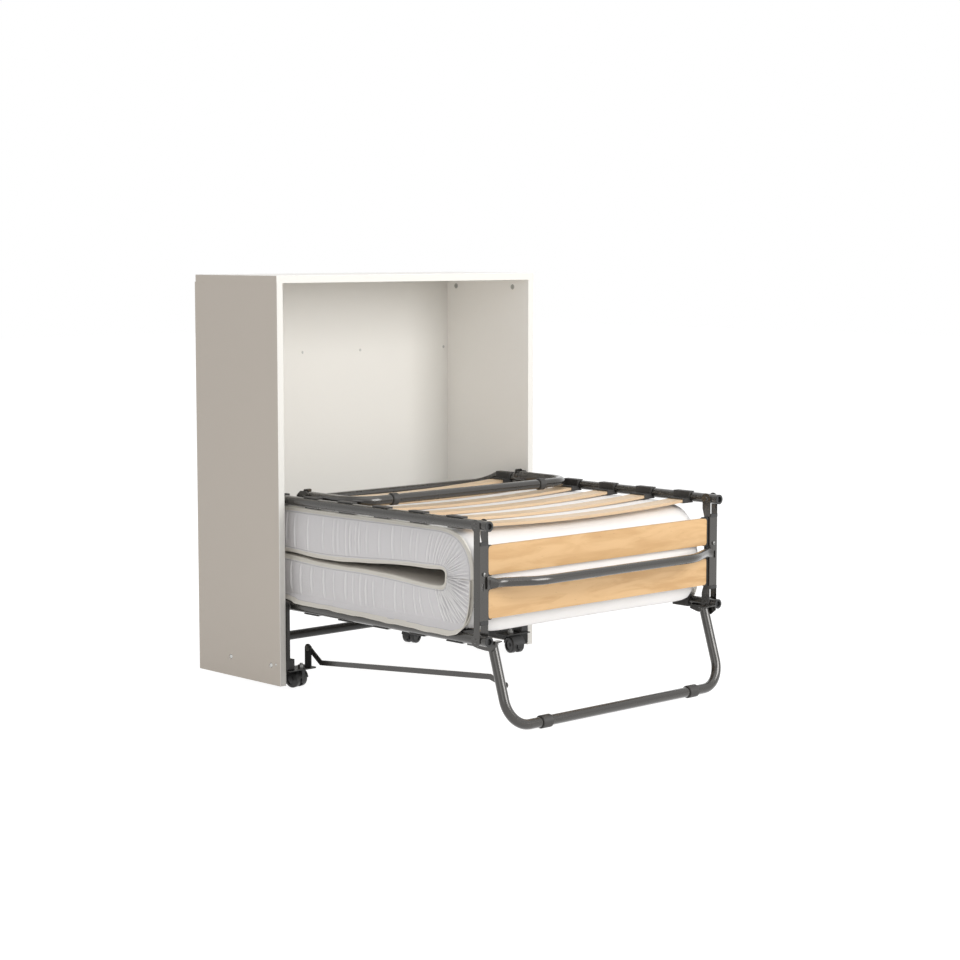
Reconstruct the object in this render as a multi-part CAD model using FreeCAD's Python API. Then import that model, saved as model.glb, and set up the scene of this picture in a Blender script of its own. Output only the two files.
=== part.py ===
import FreeCAD, Part
import math
import os

# Cabinet bed: a white board cabinet on four casters with a three-section folding bed
# hinged in its foot. It is shown pulled down, with the bed still folded in three.
# Millimetres. X runs left to right, Y front to rear, Z up. While building, Y = 0 is the
# cabinet's front plane; every piece is moved by y_shift when it is saved, so that the
# origin lies on the floor, under the middle of the whole object.

# ---- cabinet ----
cab_w = 915.0            # width over the top panel
cab_d = 350.0            # depth of the side panels
cab_h = 1070.0           # height over the top panel
board_t = 19.0           # side boards
top_t = 19.0             # top board
top_overhang = 1.0       # top panel past each side panel
top_back_set = 5.0       # top panel short of the sides at the rear
panel_lift = 14.0        # side panels' bottom edge above the floor
back_t = 8.0             # back panel
back_lift = 145.0        # back panel's bottom edge above the floor
edge_soft = 0.8          # small bevel on the boards' front edges
cam_r = 7.5              # cam fitting
cam_depth = 12.5
cam_drop = 21.0          # cam centre below the top panel
cam_front = 65.0         # cam centre behind the front edge
cam_rear = 50.0          # cam centre ahead of the rear edge
screw_z = 853.0          # row of screws in the back panel
screw_in = 16.0          # outer screws in from the side panels
screw_half = 104.0       # inner screws either side of the middle
screw_r = 2.0

# ---- steel base ----
plate_t = 2.0            # side plate on the panel's inside
plate_lift = 17.0        # side plate's bottom edge above the floor
foot_w = 25.0            # foot rail, rectangular tube
foot_h = 28.0
foot_z = 53.0            # underside of the foot rail
foot_wall = 1.5
foot_len = 320.0
foot_front = 2.0         # foot rail's front end behind the front plane
cap_t = 4.0              # plastic end cap outside the tube
bolt_y1 = 39.0           # bolts through panel, plate and foot rail
bolt_y2 = 210.0
bolt_z = 65.0
bolt_r = 3.0
pin_screw_y = 19.0       # small screw near the front
pin_screw_z = 69.0
post_t = 9.5             # flat post that carries the bed's pivot
post_w = 26.0
swivel_plate_t = 3.0     # plate under the foot rail for the front caster
swivel_plate_in = 66.0   # how far it reaches in from the foot rail
swivel_plate_fore = 12.0  # ahead of the front plane
swivel_plate_aft = 42.0
cross_y = 307.0          # rear cross tube
cross_z = 76.0

# ---- casters ----
wheel_r = 23.0
wheel_w = 14.5
wheel_round = 4.5        # rounding of a wheel's outer edge
hood_half = 5.5          # half thickness of the hood's middle
hood_gap = 1.0           # hood rim outside the tread
hood_t = 2.0
caster_trail = 18.0
axle_r = 3.0
bore_gap = 0.1
stem_r = 4.0
front_caster_in = 30.5   # casters' stems in from the foot rails' inner sides
front_caster_y = 10.0
rear_caster_in = 155.5
nut_af = 15.0
nut_h = 8.0

# ---- bed frame ----
rail_r = 12.5            # rails and legs, round tube
tube_wall = 1.5
rail_in = 27.5           # rails' centre lines in from the side panels
rail_lo = 220.0          # lower rails' height
rail_hi = 493.0          # upper rails' height, bed folded
rail_front = 731.0       # rails' front ends ahead of the front plane
rail_cap_t = 2.0
hinge_y = 700.0          # folding hinges ahead of the front plane
pivot_y = 8.0            # bed pivot behind the front plane
pivot_r = 5.0
hoop_y = 146.0           # rear hoop
hoop_start = 99.0
hoop_rise = 22.0         # hoop bends towards the mattress
hoop_bend = 41.0
kick_bend = 40.0
slat_n = 6
slat_front = 615.0       # first slat ahead of the front plane
slat_pitch = 135.0
slat_w = 50.0
slat_t = 7.0
slat_gap = 16.0          # slat ends from the rails' centre line
slat_off = 8.0           # slat ends from the rail plane, towards the mattress
slat_camber = 12.0
pocket_wall = 2.0
pocket_len = 22.0
clip_t = 2.8
clip_over = 5.0          # clip's tongue past the rail's centre line

# ---- folding link between the two sections ----
link_play = 0.5          # channel's inner face to the rail
link_wall = 1.5
link_fore = 14.5         # channel's web ahead of the hinge
link_aft = 5.5           # flanges behind the hinge
web_cut = 42.0           # web is open this far from each hinge
lobe_aft = 12.0          # inner flange is deeper round each hinge
lobe_low = 6.0
slot_w = 6.0
slot_h = 20.0
link_board_h = 70.0
link_board_t = 10.0
link_board_gap = 34.0    # between the two boards
link_board_end = 5.5     # board ends short of the channel
link_board_fore = 8.0    # board's front face ahead of the hinge
bow_r = 11.5             # bow-shaped grab bar
bow_wall = 1.5
bow_out = 70.0           # bar's middle ahead of the hinge
bow_in = 135.0           # straight middle ends this far in from the rails
bow_tip = 7.0            # flattened tips end short of the rails' centre lines
bow_flat = 2.6           # half thickness of the flattened ends
bow_bend = 60.0
rivet_r = 4.0
rivet_head = 7.0

# ---- legs ----
leg_off = 12.0           # leg pivot from the rail plane
leg_fore = 59.47         # floor bar ahead of the leg's pivot
leg_bend = 66.0
leg_pivot_lo = 711.0     # lower leg's pivot ahead of the front plane
leg_pivot_hi = 23.0      # upper leg's pivot ahead of the front plane
foot_sleeve_r = 16.0     # plastic sleeve, stands on the floor
foot_sleeve_len = 33.0
hi_sleeve_len = 20.0     # the upper leg's sleeves are shorter
foot_sleeve_in = 116.3   # sleeve's middle in from the leg's arm
ear_t = 3.0              # leg bracket
ear_up = 5.0             # above and below the leg's pivot
ear_down = 14.0
ear_fore = 27.0          # bracket past the leg's pivot, on the stop's side
lo_ear_aft = 60.0        # and on the other side, lower and upper bracket
hi_ear_aft = 22.0
lo_weld = 35.0           # the welded foot begins here
hi_weld = 6.0
leg_pin_r = 4.0
stop_low = 5.0           # leg tube is cut level here, above its pivot
stop_t = 3.0             # stop plate on top of each leg arm
stop_reach = 17.0
stop_shelf = 12.5        # bracket's shelf begins here, ahead of the pivot

# ---- stay ----
stay_t = 4.0
stay_half = 6.5          # half width of the bar
stay_y = -5.0            # stay's pivot on the base
stay_z = 104.0
stay_on_leg = 100.0      # stay's rivet along the leg, from the leg's pivot
kink_y = -52.0           # bar's lower bend
kink_z = 72.0
neck_back = 53.0         # bar's upper bend, behind and above the rivet
neck_rise = 13.0
stay_pin_r = 4.0
lug_t = 3.4              # upturned lug that holds the stay
lug_r = 12.0

# ---- mattress ----
mat_in = 21.0            # mattress sides in from the rails' centre lines
mat_back = 105.0         # rear end behind the front plane
mat_split = 560.0        # the two layers end here and the fold begins
mat_lift = 15.3          # mattress edge from the rail plane
mat_layer = 108.0        # one layer at its edge
mat_inner_crown = 3.0    # inner faces swell towards each other
mat_bulge = 2.0          # sides swell out
mat_draw = 9.0           # ends drawn in
mat_nose = 694.0         # front of the fold ahead of the front plane
mat_nose_draw = 45.0     # fold drawn in at the sides

# ---- clearances ----
run = 0.06               # radial, for every pivot that turns
seat = 0.02              # radial, for pins and bolts that stay put
side = 0.3               # between faces that pass each other
snug = 0.1               # plastic pieces on their tubes
rest = 0.35              # mattress over the slats' middle
sink = 0.3               # bolt heads below the panel's face

# ---- sizes that follow ----
half_w = cab_w / 2.0
panel_out = half_w - top_overhang
panel_in = panel_out - board_t
plate_in = panel_in - plate_t
foot_in = plate_in - foot_w
foot_top = foot_z + foot_h
front_caster_x = foot_in - front_caster_in
rear_caster_x = foot_in - rear_caster_in
rail_x = panel_in - rail_in
mat_half = rail_x - mat_in
mat_crown = slat_off + slat_t / 2.0 + slat_camber + rest - mat_lift
bow_half = rail_x - bow_in
bow_end = rail_x - bow_tip
top_z = cab_h - top_t
back_face = cab_d - top_back_set - back_t
mid_z = (rail_lo + rail_hi) / 2.0
swivel_z = foot_z - swivel_plate_t
chan_in = rail_r + link_play
chan_out = chan_in + link_wall
chan_face = rail_x - chan_out
ear_out = chan_face - side
ear_in = ear_out - ear_t
leg_x = ear_in - 0.4 - rail_r
foot_sleeve_x = leg_x - foot_sleeve_in
leg_z = rail_lo - leg_off
leg_drop = leg_z - foot_sleeve_r
leg_len = math.hypot(leg_drop, leg_fore)
leg_lean = math.atan2(leg_fore, leg_drop)
leg_open = math.degrees(leg_lean) + 90.0
bar_y = -leg_pivot_lo - leg_len * math.sin(leg_lean)
stay_out = leg_x - rail_r - side
stay_in = stay_out - stay_t
hood_in = wheel_r + hood_gap
hood_out = hood_in + hood_t
front_reach = max(foot_sleeve_r - bar_y, hinge_y + bow_out + bow_r)
y_shift = (front_reach - cab_d) / 2.0

os.makedirs("parts", exist_ok=True)


def vec(x, y, z):
    return FreeCAD.Vector(x, y, z)


def block(x0, x1, y0, y1, z0, z1):
    low = vec(min(x0, x1), min(y0, y1), min(z0, z1))
    return Part.makeBox(abs(x1 - x0), abs(y1 - y0), abs(z1 - z0), low)


def rod_x(x0, x1, y, z, r):
    return Part.makeCylinder(r, abs(x1 - x0), vec(min(x0, x1), y, z), vec(1, 0, 0))


def rod_y(y0, y1, x, z, r):
    return Part.makeCylinder(r, abs(y1 - y0), vec(x, min(y0, y1), z), vec(0, 1, 0))


def rod_z(z0, z1, x, y, r):
    return Part.makeCylinder(r, abs(z1 - z0), vec(x, y, min(z0, z1)), vec(0, 0, 1))


def plate_x(outline, x0, x1):
    """A flat plate whose outline is a list of (y, z) points."""
    points = [vec(min(x0, x1), y, z) for y, z in outline]
    face = Part.Face(Part.makePolygon(points + [points[0]]))
    return face.extrude(vec(abs(x1 - x0), 0, 0))


def strap_x(y0, z0, y1, z1, half, x0, x1):
    """A flat bar with round ends between two (y, z) points."""
    long = math.hypot(y1 - y0, z1 - z0)
    a = math.atan2(z1 - z0, y1 - y0)
    dy = half * math.sin(a)
    dz = half * math.cos(a)
    outline = [(y0 + dy, z0 - dz), (y1 + dy, z1 - dz), (y1 - dy, z1 + dz), (y0 - dy, z0 + dz)]
    bar = plate_x(outline, x0, x1)
    return bar.fuse([rod_x(x0, x1, y0, z0, half), rod_x(x0, x1, y1, z1, half)])


def other_side(shape):
    return shape.mirror(vec(0, 0, 0), vec(1, 0, 0))


def other_section(shape):
    """The upper section repeats the lower one, turned over."""
    return shape.mirror(vec(0, 0, mid_z), vec(0, 0, 1))


def both(shape):
    return [shape, other_side(shape)]


def bent_wire(points, radii):
    """Straight runs joined by tangent arcs at the inner points."""
    edges = []
    here = points[0]
    for i in range(1, len(points) - 1):
        into = (points[i] - points[i - 1]).normalize()
        away = (points[i + 1] - points[i]).normalize()
        half = into.getAngle(away) / 2.0
        cut = radii[i - 1] * math.tan(half)
        start = points[i] - into * cut
        end = points[i] + away * cut
        inward = (away - into).normalize()
        centre = points[i] + inward * (radii[i - 1] / math.cos(half))
        middle = centre - inward * radii[i - 1]
        edges.append(Part.LineSegment(here, start).toShape())
        edges.append(Part.Arc(start, middle, end).toShape())
        here = end
    edges.append(Part.LineSegment(here, points[-1]).toShape())
    return Part.Wire(edges)


def sweep(points, radii, r):
    spine = bent_wire(points, radii)
    ring = Part.Wire(Part.makeCircle(r, points[0], points[1] - points[0]))
    return spine.makePipeShell([ring], True, False)


def tube(points, radii, r, wall):
    return sweep(points, radii, r).cut(sweep(points, radii, r - wall))


def save(name, shapes):
    """Write one node: a single solid, or a group of separate solids."""
    if not isinstance(shapes, list):
        shapes = [shapes]
    solids = []
    for shape in shapes:
        shape = shape.removeSplitter()
        solids.extend(shape.Solids)
    for solid in solids:
        solid.translate(vec(0, y_shift, 0))
        if not solid.isValid():
            print("not valid:", name)
    whole = solids[0] if len(solids) == 1 else Part.makeCompound(solids)
    whole.exportStep("parts/" + name + ".step")
    print(name, len(solids), round(sum(s.Volume for s in solids)))


# ================= cabinet =================

cam_z = top_z - cam_drop
cam_ys = [cam_front, cab_d - cam_rear]
bolt_ys = [bolt_y1, bolt_y2]
bolt_hole = bolt_r + seat
# place, shank radius, head radius and head height of everything that goes through a panel
panel_bolts = [(y, bolt_z, bolt_r, 6.5, 2.5) for y in bolt_ys]
panel_bolts.append((pin_screw_y, pin_screw_z, screw_r, 3.4, 1.4))
cam_hole = cam_r + seat


def side_panel():
    panel = block(-panel_out, -panel_in, 0, cab_d, panel_lift, top_z)
    fronts = [e for e in panel.Edges if abs(e.BoundBox.YMax) < 0.01 and e.Length > cab_d]
    panel = panel.makeChamfer(edge_soft, fronts)
    for y in cam_ys:
        panel = panel.cut(rod_x(-panel_in - cam_depth, -panel_in + 1, y, cam_z, cam_hole))
    for y, z, r, head_r, head_t in panel_bolts:
        panel = panel.cut(rod_x(-panel_out - 1, -panel_in + 1, y, z, r + seat))
        panel = panel.cut(rod_x(-panel_out - 1, -panel_out + head_t + sink, y, z, head_r + sink))
    return panel


save("side_panel_left", side_panel())
save("side_panel_right", other_side(side_panel()))

top = block(-half_w, half_w, 0, cab_d - top_back_set, top_z, cab_h)
rims = [e for e in top.Edges if e.BoundBox.ZMin > cab_h - 0.01 and e.BoundBox.YMin < 0.01]
top = top.makeChamfer(edge_soft, rims)
save("top_panel", top)

screw_xs = [-panel_in + screw_in, -screw_half, screw_half, panel_in - screw_in]
back = block(-panel_in, panel_in, back_face, back_face + back_t, back_lift, top_z)
for x in screw_xs:
    back = back.cut(rod_y(back_face - 1, back_face + back_t + 1, x, screw_z, screw_r + seat))
save("back_panel", back)

# round heads inside, cap nuts behind
screws = []
for x in screw_xs:
    head = Part.makeCone(2.0 * screw_r, 1.3 * screw_r, 1.6, vec(x, back_face, screw_z), vec(0, -1, 0))
    shank = rod_y(back_face, back_face + back_t, x, screw_z, screw_r)
    nut = rod_y(back_face + back_t, back_face + back_t + 3.0, x, screw_z, 1.9 * screw_r)
    screws.append(head.fuse([shank, nut]))
save("back_panel_screws", screws)

cams = []
for y in cam_ys:
    cam = rod_x(-panel_in - cam_depth, -panel_in - 0.5, y, cam_z, cam_r)
    cross = block(-panel_in - 3.0, -panel_in + 1, y - 4.0, y + 4.0, cam_z - 0.7, cam_z + 0.7)
    cross = cross.fuse(block(-panel_in - 3.0, -panel_in + 1, y - 0.7, y + 0.7, cam_z - 4.0, cam_z + 4.0))
    cams.extend(both(cam.cut(cross)))
save("cam_fittings", cams)

# ================= steel base =================


def panel_bolt(y, z, r, head_r, head_t):
    """Low round head in a recess of the panel, shank through panel, plate and foot rail."""
    inner = plate_in - foot_wall - 6.0 if r > screw_r else plate_in
    floor = -panel_out + sink + head_t
    head = Part.makeCone(head_r, head_r * 0.72, head_t, vec(floor, y, z), vec(-1, 0, 0))
    return head.fuse(rod_x(floor, -inner, y, z, r))


bolts = []
for bolt in panel_bolts:
    bolts.extend(both(panel_bolt(*bolt)))
save("panel_bolts", bolts)


def side_plate():
    plate = block(-panel_in, -plate_in, 0, foot_front + foot_len, plate_lift, foot_top)
    uprights = [e for e in plate.Edges if e.Length < 2.5 and e.BoundBox.ZMax < foot_z]
    plate = plate.makeFillet(6.0, uprights)
    for y in bolt_ys:
        plate = plate.cut(rod_x(-panel_in - 1, -plate_in + 1, y, bolt_z, bolt_hole))
    return plate.cut(rod_x(-panel_in - 1, -plate_in + 1, pin_screw_y, pin_screw_z, screw_r + seat))


save("side_plate_left", side_plate())
save("side_plate_right", other_side(side_plate()))


def foot_rail():
    y0 = foot_front
    y1 = foot_front + foot_len
    rail = block(-plate_in, -foot_in, y0, y1, foot_z, foot_top)
    along = [e for e in rail.Edges if e.Length > foot_len - 1]
    rail = rail.makeFillet(2.5, along)
    hollow = block(-plate_in + foot_wall, -foot_in - foot_wall, y0 - 1, y1 + 1,
                   foot_z + foot_wall, foot_top - foot_wall)
    rail = rail.cut(hollow)
    for y in bolt_ys:
        rail = rail.cut(rod_x(-plate_in - 1, -plate_in + foot_wall + 1, y, bolt_z, bolt_hole))
    return rail


save("foot_rail_left", foot_rail())
save("foot_rail_right", other_side(foot_rail()))

cap = block(-plate_in, -foot_in, foot_front - cap_t, foot_front, foot_z, foot_top)
cap = cap.makeFillet(2.0, [e for e in cap.Edges if e.BoundBox.YMax < foot_front - cap_t + 0.01])
plug = block(-plate_in + foot_wall + snug, -foot_in - foot_wall - snug, foot_front, foot_front + 9.0,
             foot_z + foot_wall + snug, foot_top - foot_wall - snug)
save("foot_rail_end_caps", both(cap.fuse(plug)))


def collar(x):
    ring = rod_z(swivel_z, cross_z, x, cross_y, stem_r + 5.0)
    return ring


cross = rod_x(-foot_in, foot_in, cross_y, cross_z, rail_r)
bore = rod_x(-foot_in - 1, foot_in + 1, cross_y, cross_z, rail_r - tube_wall)
collars = [collar(-rear_caster_x), collar(rear_caster_x)]
cross = cross.fuse(collars).cut(bore)
for x in (-rear_caster_x, rear_caster_x):
    cross = cross.cut(rod_z(swivel_z - 1, cross_z, x, cross_y, stem_r + seat))
save("rear_cross_tube", cross)

plate_x0 = -plate_in
plate_x1 = -foot_in + swivel_plate_in
plate_y0 = -swivel_plate_fore
plate_y1 = swivel_plate_aft
stem_hole = stem_r + seat


def swivel_plate():
    plate = block(plate_x0, plate_x1, plate_y0, plate_y1, swivel_z, foot_z)
    corners = [e for e in plate.Edges if abs(e.Length - swivel_plate_t) < 0.01 and e.BoundBox.XMin > plate_x1 - 1]
    plate = plate.makeFillet(7.0, corners)
    return plate.cut(rod_z(swivel_z - 1, foot_z + 1, -front_caster_x, front_caster_y, stem_hole))


lug_out = stay_out + 0.5
lug_face = stay_out + 0.5 + lug_t
lug = block(-lug_face, -lug_out, stay_y - lug_r, stay_y + lug_r, foot_z, stay_z)
lug = lug.fuse(rod_x(-lug_face, -lug_out, stay_y, stay_z, lug_r))
lug = lug.cut(rod_x(-lug_face - 1, -lug_out + 1, stay_y, stay_z, stay_pin_r + seat))
lug_plate = swivel_plate().fuse(lug)
save("caster_plate_left", lug_plate)
save("caster_plate_right", other_side(swivel_plate()))


def post():
    x0 = -panel_in
    x1 = -panel_in + post_t
    y0 = pivot_y - post_w / 2.0
    bar = block(x0, x1, y0, y0 + post_w, foot_top, rail_lo)
    bar = bar.fuse(rod_x(x0, x1, pivot_y, rail_lo, post_w / 2.0))
    return bar.cut(rod_x(x0 - 1, x1 + 1, pivot_y, rail_lo, pivot_r + seat))


save("pivot_post_left", post())
save("pivot_post_right", other_side(post()))

post_face = panel_in - post_t
pin = rod_x(-panel_in, -rail_x + rail_r + 3.0, pivot_y, rail_lo, pivot_r)
spacer = rod_x(-post_face, -rail_x - rail_r - side, pivot_y, rail_lo, pivot_r + 4.0)
pin_head = Part.makeCone(pivot_r + 3.0, pivot_r + 1.5, 2.4,
                         vec(-rail_x + rail_r + side, pivot_y, rail_lo), vec(1, 0, 0))
save("bed_pivot_pins", both(pin.fuse([spacer, pin_head])))

anchor = rod_x(-lug_face - 2.0, -stay_in + side + 2.0, stay_y, stay_z, stay_pin_r)
anchor_head = rod_x(-lug_face - 2.0, -lug_face, stay_y, stay_z, stay_pin_r + 3.0)
anchor_cap = Part.makeCone(stay_pin_r + 3.0, stay_pin_r + 1.6, 2.2,
                           vec(-stay_in + side, stay_y, stay_z), vec(1, 0, 0))
save("stay_anchor_pin", anchor.fuse([anchor_head, anchor_cap]))

# ================= casters =================


def place(shape, x, y, turn):
    shape = shape.copy()
    shape.rotate(vec(0, 0, 0), vec(0, 0, 1), turn)
    shape.translate(vec(x, y, 0))
    return shape


def hood():
    """Middle web over the wheels, with a rim round the treads and a socket for the stem."""
    y = caster_trail
    web = rod_x(-hood_half, hood_half, y, wheel_r, hood_out)
    rim = rod_x(-hood_half - wheel_w, hood_half + wheel_w, y, wheel_r, hood_out)
    ends = [e for e in rim.Edges if abs(e.Length - 2 * math.pi * hood_out) < 0.01]
    rim = rim.makeFillet(hood_t - 0.4, ends)
    rim = rim.cut(rod_x(-hood_half - wheel_w - 1, hood_half + wheel_w + 1, y, wheel_r, hood_in))
    below = block(-60, 60, -80, 80, -20, wheel_r + 3.0)
    rim = rim.cut(below)
    web = web.cut(block(-60, 60, -80, 80, -20, wheel_r - 10.0))
    socket = block(-hood_half, hood_half, -8.0, y, wheel_r - 4.0, swivel_z - side)
    body = web.fuse([rim, socket])
    body = body.cut(block(-60, 60, -80, 80, swivel_z - side, 90))
    body = body.cut(rod_z(stem_low, swivel_z + 1, 0, 0, stem_r + run))
    return body.cut(rod_x(-60, 60, y, wheel_r, axle_r + run))


def wheel_pair():
    """Two treads, each with a dished outer face, and the axle that both are pushed on to."""
    y = caster_trail
    pair = []
    grip = wheel_w / 2.0
    for s in (-1, 1):
        x0 = s * (hood_half + side)
        tread = rod_x(x0, x0 + s * wheel_w, y, wheel_r, wheel_r)
        x1 = x0 + s * wheel_w
        rims = [e for e in tread.Edges if abs(e.Length - 2 * math.pi * wheel_r) < 0.01]
        outer = [e for e in rims if abs(e.BoundBox.XMin - x1) < 0.01]
        tread = tread.makeFillet(wheel_round, outer)
        inner = [e for e in tread.Edges if abs(e.BoundBox.XMin - x0) + abs(e.BoundBox.XMax - x0) < 0.02]
        tread = tread.makeChamfer(1.0, inner)
        dish = rod_x(x1 - s * 2.5, x1 + s, y, wheel_r, wheel_r * 0.66)
        boss = rod_x(x1 - s * 3.0, x1 - s * 0.6, y, wheel_r, wheel_r * 0.22)
        bore = rod_x(x0 - s, x0 + s * grip, y, wheel_r, axle_r + bore_gap)
        pair.append(tread.cut(dish).fuse(boss).cut(bore))
    reach = hood_half + side + grip
    axle = rod_x(-reach, reach, y, wheel_r, axle_r)
    return Part.makeCompound(pair + [axle])


stem_low = wheel_r + 6.0
spots = [
    ("front_left", -front_caster_x, front_caster_y, 10.0),
    ("front_right", front_caster_x, front_caster_y, 170.0),
    ("rear_left", -rear_caster_x, cross_y, 75.0),
    ("rear_right", rear_caster_x, cross_y, -75.0),
]
for name, x, y, turn in spots:
    save("caster_hood_" + name, place(hood(), x, y, turn))
    save("caster_wheels_" + name, place(wheel_pair(), x, y, turn))

front_top = foot_z + nut_h + 4.0
rear_top = cross_z - rail_r
stems = [
    rod_z(stem_low + side, front_top, -front_caster_x, front_caster_y, stem_r),
    rod_z(stem_low + side, front_top, front_caster_x, front_caster_y, stem_r),
    rod_z(stem_low + side, rear_top, -rear_caster_x, cross_y, stem_r),
    rod_z(stem_low + side, rear_top, rear_caster_x, cross_y, stem_r),
]
save("caster_stems", stems)

hexagon = []
for k in range(6):
    a = math.radians(60.0 * k + 30.0)
    far = nut_af / math.sqrt(3.0)
    hexagon.append(vec(-front_caster_x + far * math.cos(a), front_caster_y + far * math.sin(a), foot_z))
nut = Part.Face(Part.makePolygon(hexagon + [hexagon[0]])).extrude(vec(0, 0, nut_h))
nut = nut.cut(rod_z(foot_z - 1, foot_z + nut_h + 1, -front_caster_x, front_caster_y, stem_hole))
save("stem_nuts", both(nut))

# ================= bed sections =================


def frame():
    """Two rails and the rear hoop, bent from one tube."""
    path = [
        vec(-rail_x, -rail_front, rail_lo),
        vec(-rail_x, hoop_start, rail_lo),
        vec(-rail_x, hoop_y, rail_lo + hoop_rise),
        vec(rail_x, hoop_y, rail_lo + hoop_rise),
        vec(rail_x, hoop_start, rail_lo),
        vec(rail_x, -rail_front, rail_lo),
    ]
    body = tube(path, [kick_bend, hoop_bend, hoop_bend, kick_bend], rail_r, tube_wall)
    for s in (-1, 1):
        x0 = s * rail_x - rail_r - 1
        x1 = s * rail_x + rail_r + 1
        body = body.cut(rod_x(x0, x1, -hinge_y, rail_lo, rivet_r + run))
    return body


lower = frame()
for s in (-1, 1):
    across = rod_x(s * rail_x - rail_r - 1, s * rail_x + rail_r + 1, pivot_y, rail_lo, pivot_r + run)
    lower = lower.cut(across)
save("lower_frame", lower)
save("upper_frame", other_section(frame()))

end_cap = rod_y(-rail_front - rail_cap_t, -rail_front, -rail_x, rail_lo, rail_r)
end_plug = rod_y(-rail_front, -rail_front + 10.0, -rail_x, rail_lo, rail_r - tube_wall - snug)
dimple = rod_y(-rail_front - rail_cap_t - 1, -rail_front + 4.0, -rail_x, rail_lo, rail_r * 0.6)
rail_cap = end_cap.fuse(end_plug).cut(dimple)
save("lower_rail_caps", both(rail_cap))
save("upper_rail_caps", [other_section(s) for s in both(rail_cap)])

slat_ys = [-slat_front + slat_pitch * k for k in range(slat_n)]
slat_end = rail_x - slat_gap
slat_z = rail_lo + slat_off
pocket_rise = slat_camber * (1.0 - ((slat_end - pocket_len) / slat_end) ** 2)


def slat(y):
    low = slat_z - slat_t / 2.0
    high = slat_z + slat_t / 2.0
    y0 = y - slat_w / 2.0
    under = Part.Arc(vec(-slat_end, y0, low), vec(0, y0, low + slat_camber), vec(slat_end, y0, low))
    over = Part.Arc(vec(slat_end, y0, high), vec(0, y0, high + slat_camber), vec(-slat_end, y0, high))
    right = Part.LineSegment(vec(slat_end, y0, low), vec(slat_end, y0, high))
    left = Part.LineSegment(vec(-slat_end, y0, high), vec(-slat_end, y0, low))
    loop = Part.Wire([under.toShape(), right.toShape(), over.toShape(), left.toShape()])
    body = Part.Face(loop).extrude(vec(0, slat_w, 0))
    return body


def slat_holder(y):
    """A clip round the rail's inner side with a flat tongue and a pocket for the slat's end."""
    half = slat_w / 2.0 + snug + pocket_wall
    low = slat_z - slat_t / 2.0 - snug
    high = slat_z + slat_t / 2.0 + pocket_rise + snug
    x1 = -slat_end + pocket_len
    under = rail_lo - rail_r - clip_t
    wall = block(-rail_x, -rail_x + rail_r + clip_t, y - half, y + half, under, high + pocket_wall)
    tongue = block(-rail_x - clip_over, -rail_x + 1, y - half, y + half, under, under + clip_t)
    pocket = block(-rail_x, x1, y - half, y + half, low - pocket_wall, high + pocket_wall)
    body = wall.fuse([tongue, pocket])
    low_edges = [e for e in body.Edges if abs(e.Length - 2 * half) < 0.01 and e.BoundBox.ZMax < under + 0.01]
    body = body.makeFillet(1.2, low_edges)
    body = body.cut(rod_y(y - half - 1, y + half + 1, -rail_x, rail_lo, rail_r + snug))
    hollow = block(-slat_end - snug, x1 + 1, y - slat_w / 2.0 - snug, y + slat_w / 2.0 + snug, low, high)
    body = body.cut(hollow)
    return body


slats = [slat(y) for y in slat_ys]
save("lower_slats", slats)
save("upper_slats", [other_section(s) for s in slats])
holders = []
for y in slat_ys:
    holders.extend(both(slat_holder(y)))
save("lower_slat_holders", holders)
save("upper_slat_holders", [other_section(s) for s in holders])

# ================= legs =================

bar_dy = -leg_len * math.sin(leg_lean)
bar_dz = -leg_len * math.cos(leg_lean)
up_y = -bar_dy / leg_len
up_z = -bar_dz / leg_len


def leg():
    """U-shaped leg in its open position, about its own pivot."""
    long = 16.0
    path = [
        vec(-leg_x, up_y * long, up_z * long),
        vec(-leg_x, bar_dy, bar_dz),
        vec(leg_x, bar_dy, bar_dz),
        vec(leg_x, up_y * long, up_z * long),
    ]
    body = tube(path, [leg_bend, leg_bend], rail_r, tube_wall)
    body = body.cut(block(-leg_x - 40, leg_x + 40, -60, 60, stop_low, 60))
    for s in (-1, 1):
        x0 = s * (leg_x - rail_r)
        x1 = s * (leg_x + rail_r)
        lid = block(x0, x1, -stop_reach, 2.0, stop_low, stop_low + stop_t)
        corners = [e for e in lid.Edges if abs(e.Length - stop_t) < 0.01 and e.BoundBox.YMax < -stop_reach + 1]
        lid = lid.makeFillet(4.0, corners)
        body = body.fuse(lid)
        body = body.cut(rod_x(s * leg_x - rail_r - 2, s * leg_x + rail_r + 2, 0, 0, leg_pin_r + run))
    return body


def sleeve(x, long):
    half = long / 2.0
    body = rod_x(x - half, x + half, bar_dy, bar_dz, foot_sleeve_r)
    ends = [e for e in body.Edges if abs(e.Length - 2 * math.pi * foot_sleeve_r) < 0.01]
    body = body.makeChamfer(1.5, ends)
    return body.cut(rod_x(x - half - 1, x + half + 1, bar_dy, bar_dz, rail_r + seat))


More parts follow.
